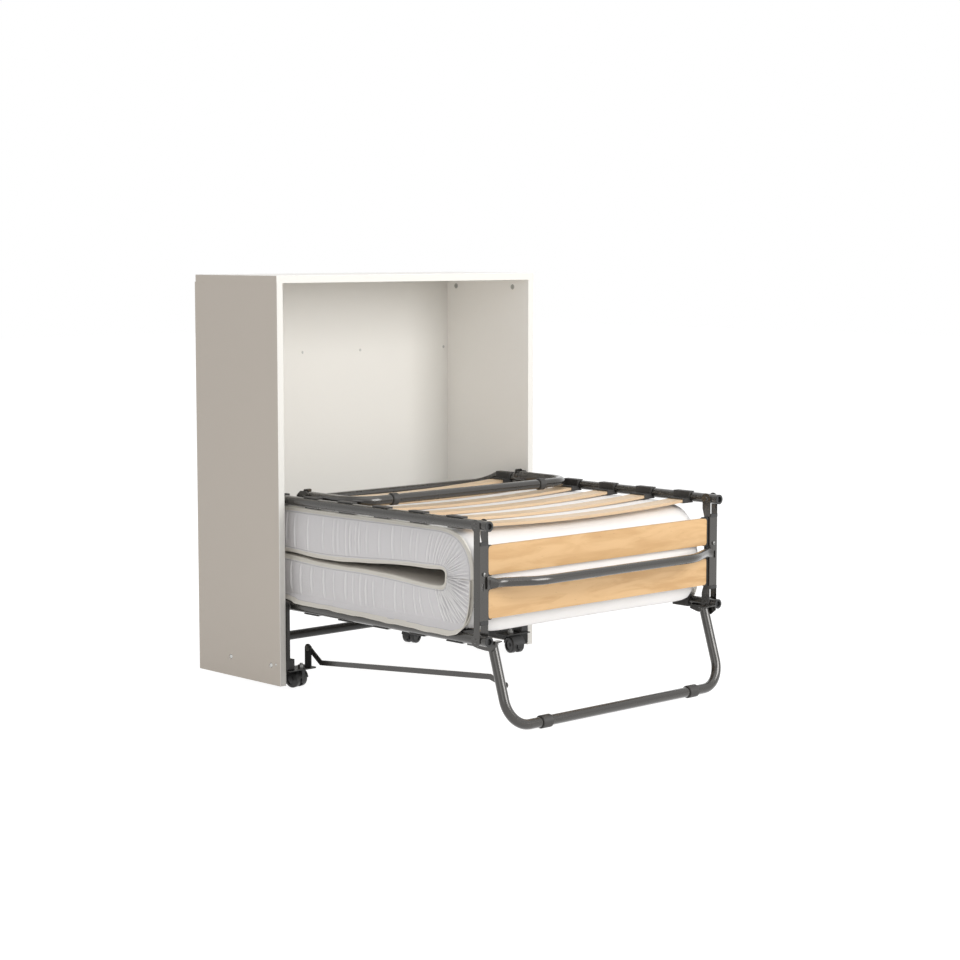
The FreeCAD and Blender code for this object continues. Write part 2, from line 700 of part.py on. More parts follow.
def leg_bracket(fore, aft, weld0, weld1):
    """Ear beside the leg, with a stop lip ahead and a foot welded under the rail."""
    lip = stop_low + stop_t + side
    flank = 0.43 * ear_down
    outline = [(-fore, -0.14 * ear_down), (-fore, lip + ear_t), (-stop_shelf, lip + ear_t),
               (-0.84 * stop_shelf, ear_up), (aft, ear_up), (aft, -flank), (0.6 * aft, -0.86 * ear_down),
               (0.7 * ear_down, -ear_down), (-0.86 * ear_down, -ear_down)]
    ear = plate_x(outline, -ear_out, -ear_in)
    shelf = block(-ear_out, -leg_x + rail_r / 2.0, -fore, -stop_shelf, lip, lip + ear_t)
    weld = block(-rail_x + ear_up, -ear_in, weld0, weld1, -flank, ear_up)
    body = ear.fuse([shelf, weld])
    body = body.cut(rod_y(-leg_len, leg_len, -rail_x, leg_off, rail_r))
    return body.cut(rod_x(-ear_out - 1, -ear_in + 1, 0, 0, leg_pin_r + seat))


def leg_pin():
    shank = rod_x(-ear_out, -leg_x + rail_r + side, 0, 0, leg_pin_r)
    head = Part.makeCone(leg_pin_r + 2.5, leg_pin_r + 1.2, 2.4, vec(-leg_x + rail_r + side, 0, 0), vec(1, 0, 0))
    return shank.fuse(head)


def to_lower(shape):
    shape = shape.copy()
    shape.translate(vec(0, -leg_pivot_lo, leg_z))
    return shape


def to_upper(shape, turn):
    shape = shape.copy()
    shape.rotate(vec(0, 0, 0), vec(1, 0, 0), turn)
    shape.translate(vec(0, -leg_pivot_hi, rail_hi + leg_off))
    return shape


save("lower_leg_tube", to_lower(leg()))
save("lower_leg_sleeves", [to_lower(s) for s in both(sleeve(-foot_sleeve_x, foot_sleeve_len))])
save("upper_leg_tube", to_upper(leg(), leg_open - 180.0))
save("upper_leg_sleeves", [to_upper(s, leg_open - 180.0) for s in both(sleeve(-foot_sleeve_x, hi_sleeve_len))])

low_bracket = leg_bracket(ear_fore, lo_ear_aft, lo_weld, lo_ear_aft)
high_bracket = leg_bracket(ear_fore, hi_ear_aft, hi_weld, hi_ear_aft)
save("lower_leg_brackets", [to_lower(s) for s in both(low_bracket)])
save("upper_leg_brackets", [to_upper(s, 180.0) for s in both(high_bracket)])
save("lower_leg_pins", [to_lower(s) for s in both(leg_pin())])
save("upper_leg_pins", [to_upper(s, 180.0) for s in both(leg_pin())])

# ================= stay =================

joint_y = -leg_pivot_lo - up_y * stay_on_leg
joint_z = leg_z - up_z * stay_on_leg
neck_y = joint_y + neck_back
neck_z = joint_z + neck_rise

stay = strap_x(stay_y, stay_z, kink_y, kink_z, stay_half, -stay_out, -stay_in)
stay = stay.fuse([
    strap_x(kink_y, kink_z, neck_y, neck_z, stay_half, -stay_out, -stay_in),
    strap_x(neck_y, neck_z, joint_y, joint_z, stay_half, -stay_out, -stay_in),
])
stay = stay.cut(rod_x(-stay_out - 1, -stay_in + 1, stay_y, stay_z, stay_pin_r + run))
stay = stay.cut(rod_x(-stay_out - 1, -stay_in + 1, joint_y, joint_z, stay_pin_r + seat))
save("stay_bar", stay)
rivet = rod_x(-stay_out, -stay_in, joint_y, joint_z, stay_pin_r)
rivet = rivet.fuse(Part.makeCone(stay_pin_r + 3.0, stay_pin_r + 1.6, 2.0,
                                 vec(-stay_in, joint_y, joint_z), vec(1, 0, 0)))
save("stay_leg_rivet", rivet)

# ================= folding link =================

web_face = -hinge_y - link_fore
open_top = rail_lo + web_cut
shut_top = rail_hi - web_cut


def channel():
    """Upright U-section, flanges either side of the rails, web cut away at both ends."""
    x0 = -rail_x - chan_out
    x1 = -rail_x + chan_out
    y1 = -hinge_y + link_aft
    body = block(x0, x1, web_face, y1, rail_lo, rail_hi)
    bends = [e for e in body.Edges if e.Length > 200 and e.BoundBox.YMax < web_face + 0.01]
    body = body.makeFillet(link_wall, bends)
    for z in (rail_lo, rail_hi):
        body = body.fuse(rod_x(x0, x1, -hinge_y, z, link_fore))
    lobe0 = plate_x(
        [(y1 - 4, rail_lo - lobe_low), (-hinge_y + lobe_aft - 8, rail_lo - lobe_low),
         (-hinge_y + lobe_aft, rail_lo + 4), (-hinge_y + lobe_aft, open_top - 16),
         (y1, open_top + 6), (y1 - 4, open_top + 6)], x1 - link_wall, x1)
    body = body.fuse([lobe0, other_section(lobe0)])
    inner = block(-rail_x - chan_in, -rail_x + chan_in, web_face + link_wall, -hinge_y + 60,
                  rail_lo - 40, rail_hi + 40)
    body = body.cut(inner)
    gate = block(-rail_x - chan_in, -rail_x + chan_in, web_face - 5, web_face + 6, rail_lo - 40, open_top)
    body = body.cut(gate).cut(other_section(gate))
    slot = strap_y(-rail_x - 4.0, mid_z - 8.0, slot_w / 2.0, slot_h - slot_w, web_face - 2, web_face + 4)
    body = body.cut(slot)
    for z in (rail_lo, rail_hi):
        body = body.cut(rod_x(x0 - 1, x1 + 1, -hinge_y, z, rivet_r + seat))
    return body


def strap_y(x, z, half, tall, y0, y1):
    bar = block(x - half, x + half, y0, y1, z - tall / 2.0, z + tall / 2.0)
    return bar.fuse([rod_y(y0, y1, x, z - tall / 2.0, half), rod_y(y0, y1, x, z + tall / 2.0, half)])


save("link_channel_left", channel())
save("link_channel_right", other_side(channel()))


def edge_trim():
    """Plastic clip on the cut edge of the web."""
    lip = 1.6
    body = block(-rail_x - chan_in + side, -rail_x + chan_in - side, web_face - lip,
                 web_face + link_wall + lip, open_top - 4.0, open_top + 5.0)
    body = body.makeChamfer(0.8, [e for e in body.Edges if e.Length > 20 and e.BoundBox.ZMax < open_top])
    groove = block(-rail_x - 40, -rail_x + 40, web_face, web_face + link_wall, open_top, open_top + 9.0)
    return body.cut(groove)


trims = both(edge_trim())
save("web_edge_trims", trims + [other_section(s) for s in trims])

hinge_rivet = rod_x(-rail_x - chan_out, -rail_x + chan_out, -hinge_y, rail_lo, rivet_r)
outer_head = Part.makeCone(rivet_head, rivet_head * 0.6, 2.4, vec(-rail_x - chan_out, -hinge_y, rail_lo), vec(-1, 0, 0))
inner_head = Part.makeCone(rivet_head - 1.0, rivet_head * 0.6, 2.2, vec(-rail_x + chan_out, -hinge_y, rail_lo), vec(1, 0, 0))
hinge_rivet = hinge_rivet.fuse([outer_head, inner_head])
rivets = both(hinge_rivet)
save("hinge_rivets", rivets + [other_section(s) for s in rivets])

board_face = -hinge_y - link_board_fore
board_half = chan_face - link_board_end
board_mid = mid_z - (link_board_gap + link_board_h) / 2.0


def link_board():
    z0 = board_mid - link_board_h / 2.0
    body = block(-board_half, board_half, board_face, board_face + link_board_t, z0, z0 + link_board_h)
    ends = [e for e in body.Edges if abs(e.Length - link_board_t) < 0.01]
    body = body.makeFillet(8.0, ends)
    return body


def board_holder():
    """Cup on the channel's inner face, open at the front, that takes the end of a board."""
    wall = 2.5
    rim = 1.0
    z0 = board_mid - link_board_h / 2.0
    x0 = -chan_face
    x1 = -board_half + 14.0
    deep = link_board_t + wall + rim
    body = block(x0, x1, board_face - rim, board_face - rim + deep, z0 - wall, z0 + link_board_h + wall)
    lying = [e for e in body.Edges if abs(e.Length - deep) < 0.01 and e.BoundBox.XMin > x1 - 1]
    body = body.makeFillet(9.0, lying)
    room = block(-board_half - snug, x1 + 30, board_face - rim - 1.0, board_face + link_board_t + snug,
                 z0 - snug, z0 + link_board_h + snug)
    far = [e for e in room.Edges if e.BoundBox.XMax < -board_half + 1 and e.BoundBox.YLength > link_board_t]
    room = room.makeFillet(8.0, far)
    return body.cut(room)


save("link_board_lower", link_board())
save("link_board_upper", other_section(link_board()))
cups = both(board_holder())
save("board_holders", cups + [other_section(s) for s in cups])


def flat_end(x_round, x_flat, x_tip):
    """The bar's end, pressed from round to flat against the channel."""
    yr = web_face - bow_r
    yf = web_face - bow_flat
    shapes = []
    for x, y, a, b in ((x_round, yr, bow_r, bow_r), (x_flat, yf, bow_r * 1.3, bow_flat)):
        oval = Part.Ellipse(vec(x, y, mid_z + a), vec(x, y + b, mid_z), vec(x, y, mid_z)) if a > b else None
        if oval is None:
            shapes.append(Part.Wire(Part.makeCircle(b, vec(x, y, mid_z), vec(1, 0, 0))))
        else:
            shapes.append(Part.Wire(oval.toShape()))
    taper = Part.makeLoft(shapes, True, True)
    tip = Part.Face(shapes[1]).extrude(vec(x_tip - x_flat, 0, 0))
    return taper.fuse(tip)


def bow_bar():
    y0 = web_face - bow_r
    y1 = -hinge_y - bow_out
    x0 = bow_end - 20.0
    path = [
        vec(-x0, y0, mid_z),
        vec(-x0 + 18.0, y0, mid_z),
        vec(-bow_half, y1, mid_z),
        vec(bow_half, y1, mid_z),
        vec(x0 - 18.0, y0, mid_z),
        vec(x0, y0, mid_z),
    ]
    body = tube(path, [bow_bend, 2.0 * bow_bend, 2.0 * bow_bend, bow_bend], bow_r, bow_wall)
    tip = flat_end(-x0, -x0 - 10.0, -bow_end)
    return body.fuse([tip, other_side(tip)])


save("bow_bar", bow_bar())

# ================= mattress =================

mat_low = rail_lo + mat_lift
mat_top = mat_low + mat_layer


def arc(a, b, c):
    return Part.Arc(a, b, c).toShape()


def layer_ring(y, shrink):
    """Cross-section of one layer: crowned faces and swelling sides."""
    x = mat_half - shrink
    low = mat_low + shrink * 0.6
    top = mat_top - shrink * 0.6
    mid = (low + top) / 2.0
    a = vec(-x, y, low)
    b = vec(x, y, low)
    c = vec(x, y, top)
    d = vec(-x, y, top)
    return Part.Wire([
        arc(a, vec(0, y, low + mat_crown), b),
        arc(b, vec(x + mat_bulge, y, mid), c),
        arc(c, vec(0, y, top + mat_inner_crown), d),
        arc(d, vec(-x - mat_bulge, y, mid), a),
    ])


def layer():
    y0 = -mat_split
    y1 = mat_back
    rings = [layer_ring(y0, 0), layer_ring(y1 - 3.0 * mat_draw, 0), layer_ring(y1 - mat_draw, mat_draw * 0.25),
             layer_ring(y1, mat_draw)]
    return Part.makeLoft(rings, True, True)


save("mattress_lower", layer())
save("mattress_upper", other_section(layer()))


def fold_ring(x, nose, draw):
    """Outline of the fold seen from the side: two layers joined by a round front."""
    low = mat_low + mat_crown * (1.0 - (x / mat_half) ** 2) + draw
    high = 2.0 * mid_z - low
    y0 = -mat_split - 1.0
    y1 = -nose
    deep = (high - low) * 0.36
    crease = mat_split * 0.5 + nose * 0.5
    lips = 7.0
    a = vec(x, y0, low)
    b = vec(x, y1 + deep, low)
    c = vec(x, y1, low + deep)
    d = vec(x, y1, high - deep)
    e = vec(x, y1 + deep, high)
    f = vec(x, y0, high)
    q = deep * (1.0 - math.sqrt(0.5))
    g = vec(x, y0, mid_z + lips)
    h = vec(x, -crease, mid_z)
    i = vec(x, y0, mid_z - lips)
    return Part.Wire([
        Part.LineSegment(a, b).toShape(),
        arc(b, vec(x, y1 + q, low + q), c),
        Part.LineSegment(c, d).toShape(),
        arc(d, vec(x, y1 + q, high - q), e),
        Part.LineSegment(e, f).toShape(),
        Part.LineSegment(f, g).toShape(),
        Part.LineSegment(g, h).toShape(),
        Part.LineSegment(h, i).toShape(),
        Part.LineSegment(i, a).toShape(),
    ])


def fold():
    stations = []
    for share in (1.0, 0.96, 0.88, 0.75, 0.55, 0.3):
        stations.append((share, share ** 6, 6.0 * share ** 24))
    rings = [fold_ring(-mat_half * s, mat_nose - mat_nose_draw * n, d) for s, n, d in stations]
    rings.append(fold_ring(0.0, mat_nose, 0.0))
    rings.extend([fold_ring(mat_half * s, mat_nose - mat_nose_draw * n, d) for s, n, d in reversed(stations)])
    return Part.makeLoft(rings, True, True)


save("mattress_fold", fold())

print("y_shift", y_shift, "leg_open", round(leg_open, 4), "leg_lean", round(math.degrees(leg_lean), 4))
print("stay joint", round(joint_y, 3), round(joint_z, 3), "leg_x", leg_x)
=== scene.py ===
"""Finishes, mattress and studio for a folding bed that comes down from a white cabinet."""

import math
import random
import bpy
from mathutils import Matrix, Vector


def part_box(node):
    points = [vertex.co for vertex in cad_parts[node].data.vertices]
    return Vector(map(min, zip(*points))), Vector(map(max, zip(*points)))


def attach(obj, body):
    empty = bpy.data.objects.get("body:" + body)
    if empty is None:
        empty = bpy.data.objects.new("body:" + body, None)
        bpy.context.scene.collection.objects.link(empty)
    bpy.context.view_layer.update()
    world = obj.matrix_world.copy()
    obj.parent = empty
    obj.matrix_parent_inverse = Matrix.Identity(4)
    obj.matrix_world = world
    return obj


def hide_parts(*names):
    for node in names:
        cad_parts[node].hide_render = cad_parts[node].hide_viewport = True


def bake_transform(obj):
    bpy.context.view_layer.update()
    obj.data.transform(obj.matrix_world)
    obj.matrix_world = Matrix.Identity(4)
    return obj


bl_info = {
    "name": "Cabinet Bed Dressing",
    "version": (1, 0, 0),
    "blender": (4, 5, 0),
    "location": "View3D > Sidebar > Cabinet Bed",
    "description": "Boards, tubes, slats, mattress and studio of a folding bed in a cabinet",
    "category": "Object",
}

import bmesh
import bpy
import numpy as np
from mathutils import Vector

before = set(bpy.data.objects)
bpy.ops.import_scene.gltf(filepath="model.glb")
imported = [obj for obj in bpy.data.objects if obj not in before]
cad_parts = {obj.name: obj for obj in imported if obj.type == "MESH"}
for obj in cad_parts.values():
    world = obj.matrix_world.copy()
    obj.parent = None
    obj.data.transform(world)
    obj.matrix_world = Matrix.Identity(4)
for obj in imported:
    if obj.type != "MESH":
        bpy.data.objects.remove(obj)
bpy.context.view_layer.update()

MM = 0.001
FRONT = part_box("side_panel_left")[0].y          # the cabinet's front plane
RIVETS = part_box("hinge_rivets")
MID_Z = (RIVETS[0].z + RIVETS[1].z) / 2.0       # halfway between the two bed sections
CASTERS = ("front_left", "front_right", "rear_left", "rear_right")


# ---------------------------------------------------------------- settings

def colour(name, text, value):
    return bpy.props.FloatVectorProperty(
        name=name, description=text, subtype="COLOR", size=3, min=0.0, max=1.0, default=value)


def length(name, text, value):
    return bpy.props.FloatProperty(
        name=name, description=text, subtype="DISTANCE", unit="LENGTH", min=0.0, default=value)


def share(name, text, value):
    return bpy.props.FloatProperty(
        name=name, description=text, subtype="FACTOR", min=0.0, max=1.0, default=value)


def amount(name, text, value):
    return bpy.props.FloatProperty(name=name, description=text, min=0.0, default=value)


class BoardSettings(bpy.types.PropertyGroup):
    foil: colour("Foil", "Colour of the white foil on the boards", (0.93, 0.912, 0.875))
    # painted shade: the darker, warmer colour on the cabinet's outer sides stands in for the weaker light
    # that reaches them
    outer_side_shade: colour("Outside", "Colour of the foil on the cabinet's outer sides", (0.64, 0.58, 0.51))
    # painted shade: every face turned to the front takes this darker colour, the back panel's face as well as
    # the boards' front edges, to hold down the key light falling there
    edge: colour("Edge band", "Colour of the band on the boards' front edges", (0.73, 0.715, 0.675))
    gloss: share("Roughness", "Roughness of the foil", 0.42)
    birch: colour("Birch", "Colour of the lacquered birch", (0.635, 0.41, 0.20))
    birch_dark: colour("Birch grain", "Colour of the darker grain lines", (0.47, 0.265, 0.10))


class SteelSettings(bpy.types.PropertyGroup):
    tube: colour("Tubes", "Powder coat on the bed's tubes", (0.036, 0.033, 0.029))
    base: colour("Base", "Powder coat on the steel base", (0.028, 0.028, 0.027))
    zinc: colour("Zinc", "Plated bolts and screws", (0.62, 0.62, 0.60))
    plastic: colour("Plastic", "Black moulded plastic", (0.018, 0.018, 0.018))
    holder: colour("Holders", "Dark moulded holders and sleeves", (0.034, 0.032, 0.030))


class MattressSettings(bpy.types.PropertyGroup):
    border: colour("Border", "Cloth on the mattress's sides", (0.86, 0.845, 0.855))
    face: colour("Face", "Cloth on the mattress's faces", (0.90, 0.885, 0.87))
    # painted shade: the inner faces, which lie in the fold's gap, get this darker beige in place of the shade
    # that falls there
    inside: colour("Sleeping side", "Cloth on the side that the bed folds inwards", (0.66, 0.62, 0.56))
    tape: colour("Tape", "Edge tape and piping", (0.90, 0.865, 0.79))
    half_width: length("Half width", "Middle of the mattress to its side", 0.398)
    crown: length("Crown", "Rise of the middle over the cambered slats", 0.0086)
    soft_edge: length("Edge radius", "Rounding along the mattress's edges", 0.010)
    bulge: length("Bulge", "Swell of the sides between the tapes", 0.0050)
    gather: length("Gathers", "Height of the gathers in the border", 0.0030)
    cord: length("Piping", "Radius of the piping along the edges", 0.0034)
    step: length("Detail", "Distance between rows of the mattress mesh", 0.0014)


class StageSettings(bpy.types.PropertyGroup):
    key: amount("Key light", "Watts of the key light", 155.0)
    top: amount("Top light", "Watts of the top light", 20.0)
    fill: amount("Fill light", "Watts of the fill light", 17.0)
    sky: amount("Sky", "Strength of the even light", 0.54)
    glow: amount("Floor", "Glow of the floor where the camera sees it", 0.93)


# ---------------------------------------------------------------- shaders

class Val:
    """A shader socket that takes part in sums and products."""

    def __init__(self, graph, socket):
        self.graph, self.socket = graph, socket

    def op(self, kind, *others):
        return self.graph.calc(kind, self, *others)

    def __add__(self, other):
        return self.op("ADD", other)

    def __mul__(self, other):
        return self.op("MULTIPLY", other)

    def __sub__(self, other):
        return self.op("SUBTRACT", other)

    def __rsub__(self, other):
        return self.graph.calc("SUBTRACT", other, self)

    __radd__ = __add__
    __rmul__ = __mul__

    def band(self, low, high):
        """0 at low, 1 at high and smooth between; low may be the larger of the two."""
        return self.graph.node("ShaderNodeMapRange", {"interpolation_type": "SMOOTHSTEP"},
                               {"Value": self, "From Min": low, "From Max": high})


class Graph:
    """The node tree of a material or a world, built from expressions."""

    def __init__(self, owner):
        self.owner = owner
        owner.use_nodes = True
        self.tree = owner.node_tree
        self.tree.nodes.clear()

    def node(self, kind, settings=None, inputs=None, out=0):
        n = self.tree.nodes.new(kind)
        for key, value in (settings or {}).items():
            setattr(n, key, value)
        for key, value in (inputs or {}).items():
            socket = n.inputs[key]
            if isinstance(value, Val):
                self.tree.links.new(value.socket, socket)
            else:
                if socket.type == "RGBA" and len(value) == 3:
                    value = (*value, 1.0)
                socket.default_value = value
        return Val(self, n.outputs[out])

    def calc(self, kind, *values):
        return self.node("ShaderNodeMath", {"operation": kind}, dict(enumerate(values)))

    def place(self):
        return self.node("ShaderNodeTexCoord", out="Object")

    def facing(self):
        return self.node("ShaderNodeTexCoord", out="Normal")

    def seen(self):
        """1 for the rays that show a surface: from the camera, off a mirror or through glass."""
        camera, mirror, glass = (self.node("ShaderNodeLightPath", out=ray)
                                 for ray in ("Is Camera Ray", "Is Glossy Ray", "Is Transmission Ray"))
        return camera.op("MAXIMUM", mirror.op("MAXIMUM", glass))

    def axis(self, vector, index):
        return self.node("ShaderNodeSeparateXYZ", None, {0: vector}, out=index)

    def scaled(self, vector, factors):
        return self.node("ShaderNodeVectorMath", {"operation": "MULTIPLY"}, {0: vector, 1: factors})

    def noise(self, vector, scale, detail=2.0, rough=0.5, distortion=0.0):
        return self.node("ShaderNodeTexNoise", None, {
            "Vector": vector, "Scale": scale, "Detail": detail, "Roughness": rough, "Distortion": distortion})

    def cells(self, vector, scale):
        return self.node("ShaderNodeTexVoronoi", None, {"Vector": vector, "Scale": scale})

    def wave(self, vector, scale, distortion=0.0, direction="X"):
        return self.node("ShaderNodeTexWave", {"bands_direction": direction}, {
            "Vector": vector, "Scale": scale, "Distortion": distortion, "Detail": 1.0})

    def mix(self, factor, a, b):
        return self.node("ShaderNodeMix", {"data_type": "RGBA"}, {0: factor, 6: a, 7: b}, out=2)

    def bump(self, height, depth, strength=1.0, normal=None):
        inputs = {"Height": height, "Distance": depth, "Strength": strength}
        if normal is not None:
            inputs["Normal"] = normal
        return self.node("ShaderNodeBump", None, inputs)

    def finish(self, **inputs):
        names = {key.replace("_", " ").title().replace("Ior", "IOR"): value for key, value in inputs.items()}
        self.output(self.node("ShaderNodeBsdfPrincipled", None, names))
        return self.owner

    def output(self, shader):
        kind = "World" if isinstance(self.owner, bpy.types.World) else "Material"
        end = self.tree.nodes.new("ShaderNodeOutput" + kind)
        self.tree.links.new(shader.socket, end.inputs["Surface"])


def new_material(name):
    return Graph(bpy.data.materials.new(name))


PLY_WAVE = 4600.0         # radians per metre across the plies: a dark one every 1.4 mm
STITCH = 0.0034           # length of a stitch and the gap after it


def dress(names, material):
    """Give CAD nodes a finish."""
    for name in names:
        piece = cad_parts[name]
        if not piece.material_slots:
            piece.data.materials.append(material)
        for place in piece.material_slots:
            place.material = material


def foil_board(name, settings, along):
    """White foil with a faint pressed grain that runs along Z or X, with painted shade on the cabinet's outer
    sides and on the faces turned to the front.
    """
    g = new_material(name)
    p = g.place()
    stretch = {"Z": (1.0, 1.0, 0.045), "X": (0.045, 1.0, 1.0)}[along]
    grain = g.noise(g.scaled(p, stretch), 420.0, 4.0, 0.62, 0.3)
    cloud = g.noise(p, 3.1, 3.0, 0.55)
    scuff = g.noise(g.scaled(p, (1.0, 1.0, 2.2)), 14.0, 5.0, 0.7).band(0.58, 0.75)
    tone = g.mix(cloud * 0.35 + grain * 0.3, settings.foil, tuple(c * 0.955 for c in settings.foil))
    # painted shade: faces turned outwards on the cabinet's sides take the darker outer-side colour
    outer = (g.axis(g.facing(), 0) * g.axis(p, 0)).band(0.30, 0.40)
    tone = g.mix(outer, tone, settings.outer_side_shade)
    # painted shade: faces turned to the front, where the key light falls strongest, take the darker edge
    # colour
    front = g.axis(g.facing(), 1).band(-0.8, -0.95)
    tone = g.mix(front, tone, settings.edge)
    rough = settings.gloss + (grain - 0.5) * 0.10 + scuff * 0.07
    normal = g.bump(grain, 0.00022, 0.5)
    normal = g.bump(g.noise(p, 900.0, 2.0), 0.00005, 0.4, normal)
    return g.finish(base_color=tone, roughness=rough, normal=normal, specular_ior_level=0.45)


def powder_coat(name, tone, metal, rough, clear):
    """Powder coat with orange peel, fine flakes and faint stains."""
    g = new_material(name)
    p = g.place()
    flakes = g.cells(p, 2600.0)
    peel = g.noise(p, 520.0, 2.0, 0.5)
    stain = g.noise(p, 22.0, 5.0, 0.65).band(0.42, 0.74)
    light = tuple(min(1.0, c * 1.4 + 0.008) for c in tone)
    look = g.mix(flakes * 0.35, tone, light)
    look = g.mix(stain * 0.30, look, tuple(c * 0.62 for c in tone))
    roughness = rough + stain * 0.10 + (peel - 0.5) * 0.06
    normal = g.bump(peel, 0.00020, 0.35)
    return g.finish(base_color=look, metallic=metal, roughness=roughness, normal=normal,
                    coat_weight=clear, coat_roughness=0.18)


def plated(name, tone):
    g = new_material(name)
    p = g.place()
    brushed = g.noise(g.scaled(p, (1.0, 0.15, 1.0)), 2400.0, 3.0, 0.6)
    dull = g.noise(p, 160.0, 4.0, 0.6)
    look = g.mix(dull, tone, tuple(c * 0.72 for c in tone))
    return g.finish(base_color=look, metallic=1.0, roughness=0.24 + dull * 0.22,
                    normal=g.bump(brushed, 0.00006, 0.4))


def moulded(name, tone, rough, grain_scale=1400.0):
    """Moulded plastic with a fine grain, slight flow marks and patches of dust."""
    g = new_material(name)
    p = g.place()
    grain = g.cells(p, grain_scale)
    flow = g.noise(g.scaled(p, (1.0, 0.4, 1.0)), 60.0, 3.0, 0.5)
    dust = g.noise(p, 35.0, 5.0, 0.7).band(0.5, 0.8)
    look = g.mix(flow * 0.4, tone, tuple(c * 1.6 + 0.004 for c in tone))
    look = g.mix(dust * 0.25, look, tuple(c * 2.2 + 0.02 for c in tone))
    return g.finish(base_color=look, roughness=rough + dust * 0.12 + (grain - 0.3) * 0.08,
                    normal=g.bump(grain, 0.00012, 0.5), specular_ior_level=0.5)


def birch(name, settings, ply_axis, pale=0.0):
    """Lacquered birch: long grain in X, soft flames, a few flecks and knots, and plies on the edges."""
    g = new_material(name)
    p = g.place()
    fibre = g.noise(g.scaled(p, (0.03, 1.0, 1.0)), 900.0, 4.0, 0.6, 0.2)
    flame = g.noise(g.scaled(p, (0.16, 1.0, 1.0)), 34.0, 4.0, 0.6, 0.8)
    cloud = g.noise(g.scaled(p, (0.5, 1.0, 1.0)), 9.0, 2.0, 0.5)
    fleck = g.cells(g.scaled(p, (0.18, 1.0, 1.0)), 120.0).band(0.10, 0.03)
    knot = g.cells(g.scaled(p, (0.55, 1.0, 1.0)), 7.0).band(0.085, 0.01)
    tone = g.mix(flame.band(0.40, 0.66) * 0.75, settings.birch, settings.birch_dark)
    tone = g.mix(cloud.band(0.35, 0.7) * 0.35, tone, tuple(min(1.0, c * 1.12) for c in settings.birch))
    tone = g.mix(fibre * 0.22, tone, settings.birch_dark)
    tone = g.mix(fleck * 0.45 + knot * 0.65, tone, tuple(c * 0.62 for c in settings.birch_dark))
    tone = g.mix(pale, tone, (0.88, 0.78, 0.63))
    # plies show where the surface turns away from the face
    side = g.axis(g.facing(), ply_axis).op("ABSOLUTE")
    across = g.axis(p, 2 if ply_axis == 1 else 1)
    plies = (across * PLY_WAVE).op("SINE").band(-0.2, 0.5)
    edge = side.band(0.72, 0.92)
    tone = g.mix(edge * plies * 0.45, tone, tuple(c * 0.55 for c in settings.birch_dark))
    rough = 0.36 + fibre * 0.10 + edge * 0.2
    normal = g.bump(fibre, 0.00025, 0.45)
    return g.finish(base_color=tone, roughness=rough, normal=normal, coat_weight=0.12, coat_roughness=0.25)


def woven(name, tone, thread, depth, sheen=0.25, seams=()):
    """Cloth with crossing threads, slubs, a soft cloud in its tone and stitched seams across V; with seams,
    the gathers get a painted highlight on their ridges and painted shade in their valleys.
    """
    g = new_material(name)
    p = g.node("ShaderNodeUVMap", {"uv_map": "cloth"})
    warp, weft = (g.wave(p, 0.5 / thread, 0.6, way) for way in "XY")
    check = warp.op("MAXIMUM", weft)
    slub = g.noise(g.scaled(p, (1.0, 0.06, 1.0)), 320.0, 3.0, 0.6)
    cloud = g.noise(g.place(), 12.0, 3.0, 0.5)
    # painted shade in the gaps between the threads, mixed with a soft cloud that is the cloth's own uneven
    # tone
    cloud_and_thread_shade = tuple(c * 0.88 for c in tone)
    look = g.mix(cloud * 0.5 + (1 - check) * 0.35, tone, cloud_and_thread_shade)
    look = g.mix(slub.band(0.55, 0.75) * 0.3, look, tuple(min(1.0, c * 1.06) for c in tone))
    normal = g.bump(check + slub * 0.4, depth, 0.7)
    if seams:
        # painted highlight on the ridges of the gathers and painted shade in the valleys beside them, read
        # off their height
        crease = g.node("ShaderNodeAttribute", {"attribute_name": "crease"}, out=2)
        look = g.mix(crease.band(0.05, 0.75), look, (1.0, 0.99, 0.985))
        look = g.mix(crease.band(-0.04, -0.45) * 0.30, look, tuple(c * 0.6 for c in tone))
    for seam in seams:
        off = (g.axis(p, 1) - seam).op("ABSOLUTE")
        line = off.band(0.0011, 0.0004)
        gap = (g.axis(p, 0) * (math.tau / STITCH)).op("SINE").band(-0.5, 0.1)
        look = g.mix(line * (0.75 - gap * 0.45), look, tuple(c * 0.45 for c in tone))
        normal = g.bump(1 - off.band(0.0022, 0.0003), 0.0008, 0.8, normal)
    return g.finish(base_color=look, roughness=0.72 + (1 - check) * 0.2, normal=normal,
                    sheen_weight=sheen, sheen_roughness=0.5, specular_ior_level=0.3)


# ---------------------------------------------------------------- mattress

def ramp(value, start, end):
    """0 at start and 1 at end, straight between and level beyond."""
    return np.clip((value - start) / (end - start), 0.0, 1.0)


def step_at(value, place, steep):
    """A soft step up at a place, or down where steep is below zero."""
    return 1.0 / (1.0 + np.exp((place - value) * steep))


def ridge(off, width, dip, dip_out, dip_width):
    """A ridge with a valley on both sides, read off millimetres from its middle."""
    valley = (np.abs(off) - dip_out * width) / (dip_width * width)
    return np.exp(-(off / width) ** 2) - dip * np.exp(-valley ** 2)


def measured(points):
    """Distance along a run of points, at each of them."""
    return np.concatenate([[0], np.cumsum(np.linalg.norm(np.diff(points, axis=0), axis=1))])


def unit(vectors):
    """The same directions at length 1."""
    return vectors / np.maximum(np.linalg.norm(vectors, axis=1), 1e-9)[:, None]


def hermite(points, at):
    """A smooth curve through points, read at fractional indices."""
    points = np.asarray(points, float)
    slopes = np.gradient(points, axis=0)
    i = np.clip(np.floor(at).astype(int), 0, len(points) - 2)
    t = (at - i)[:, None]
    a, b, ma, mb = points[i], points[i + 1], slopes[i], slopes[i + 1]
    return ((2 * t**3 - 3 * t**2 + 1) * a + (t**3 - 2 * t**2 + t) * ma
            + (-2 * t**3 + 3 * t**2) * b + (t**3 - t**2) * mb)


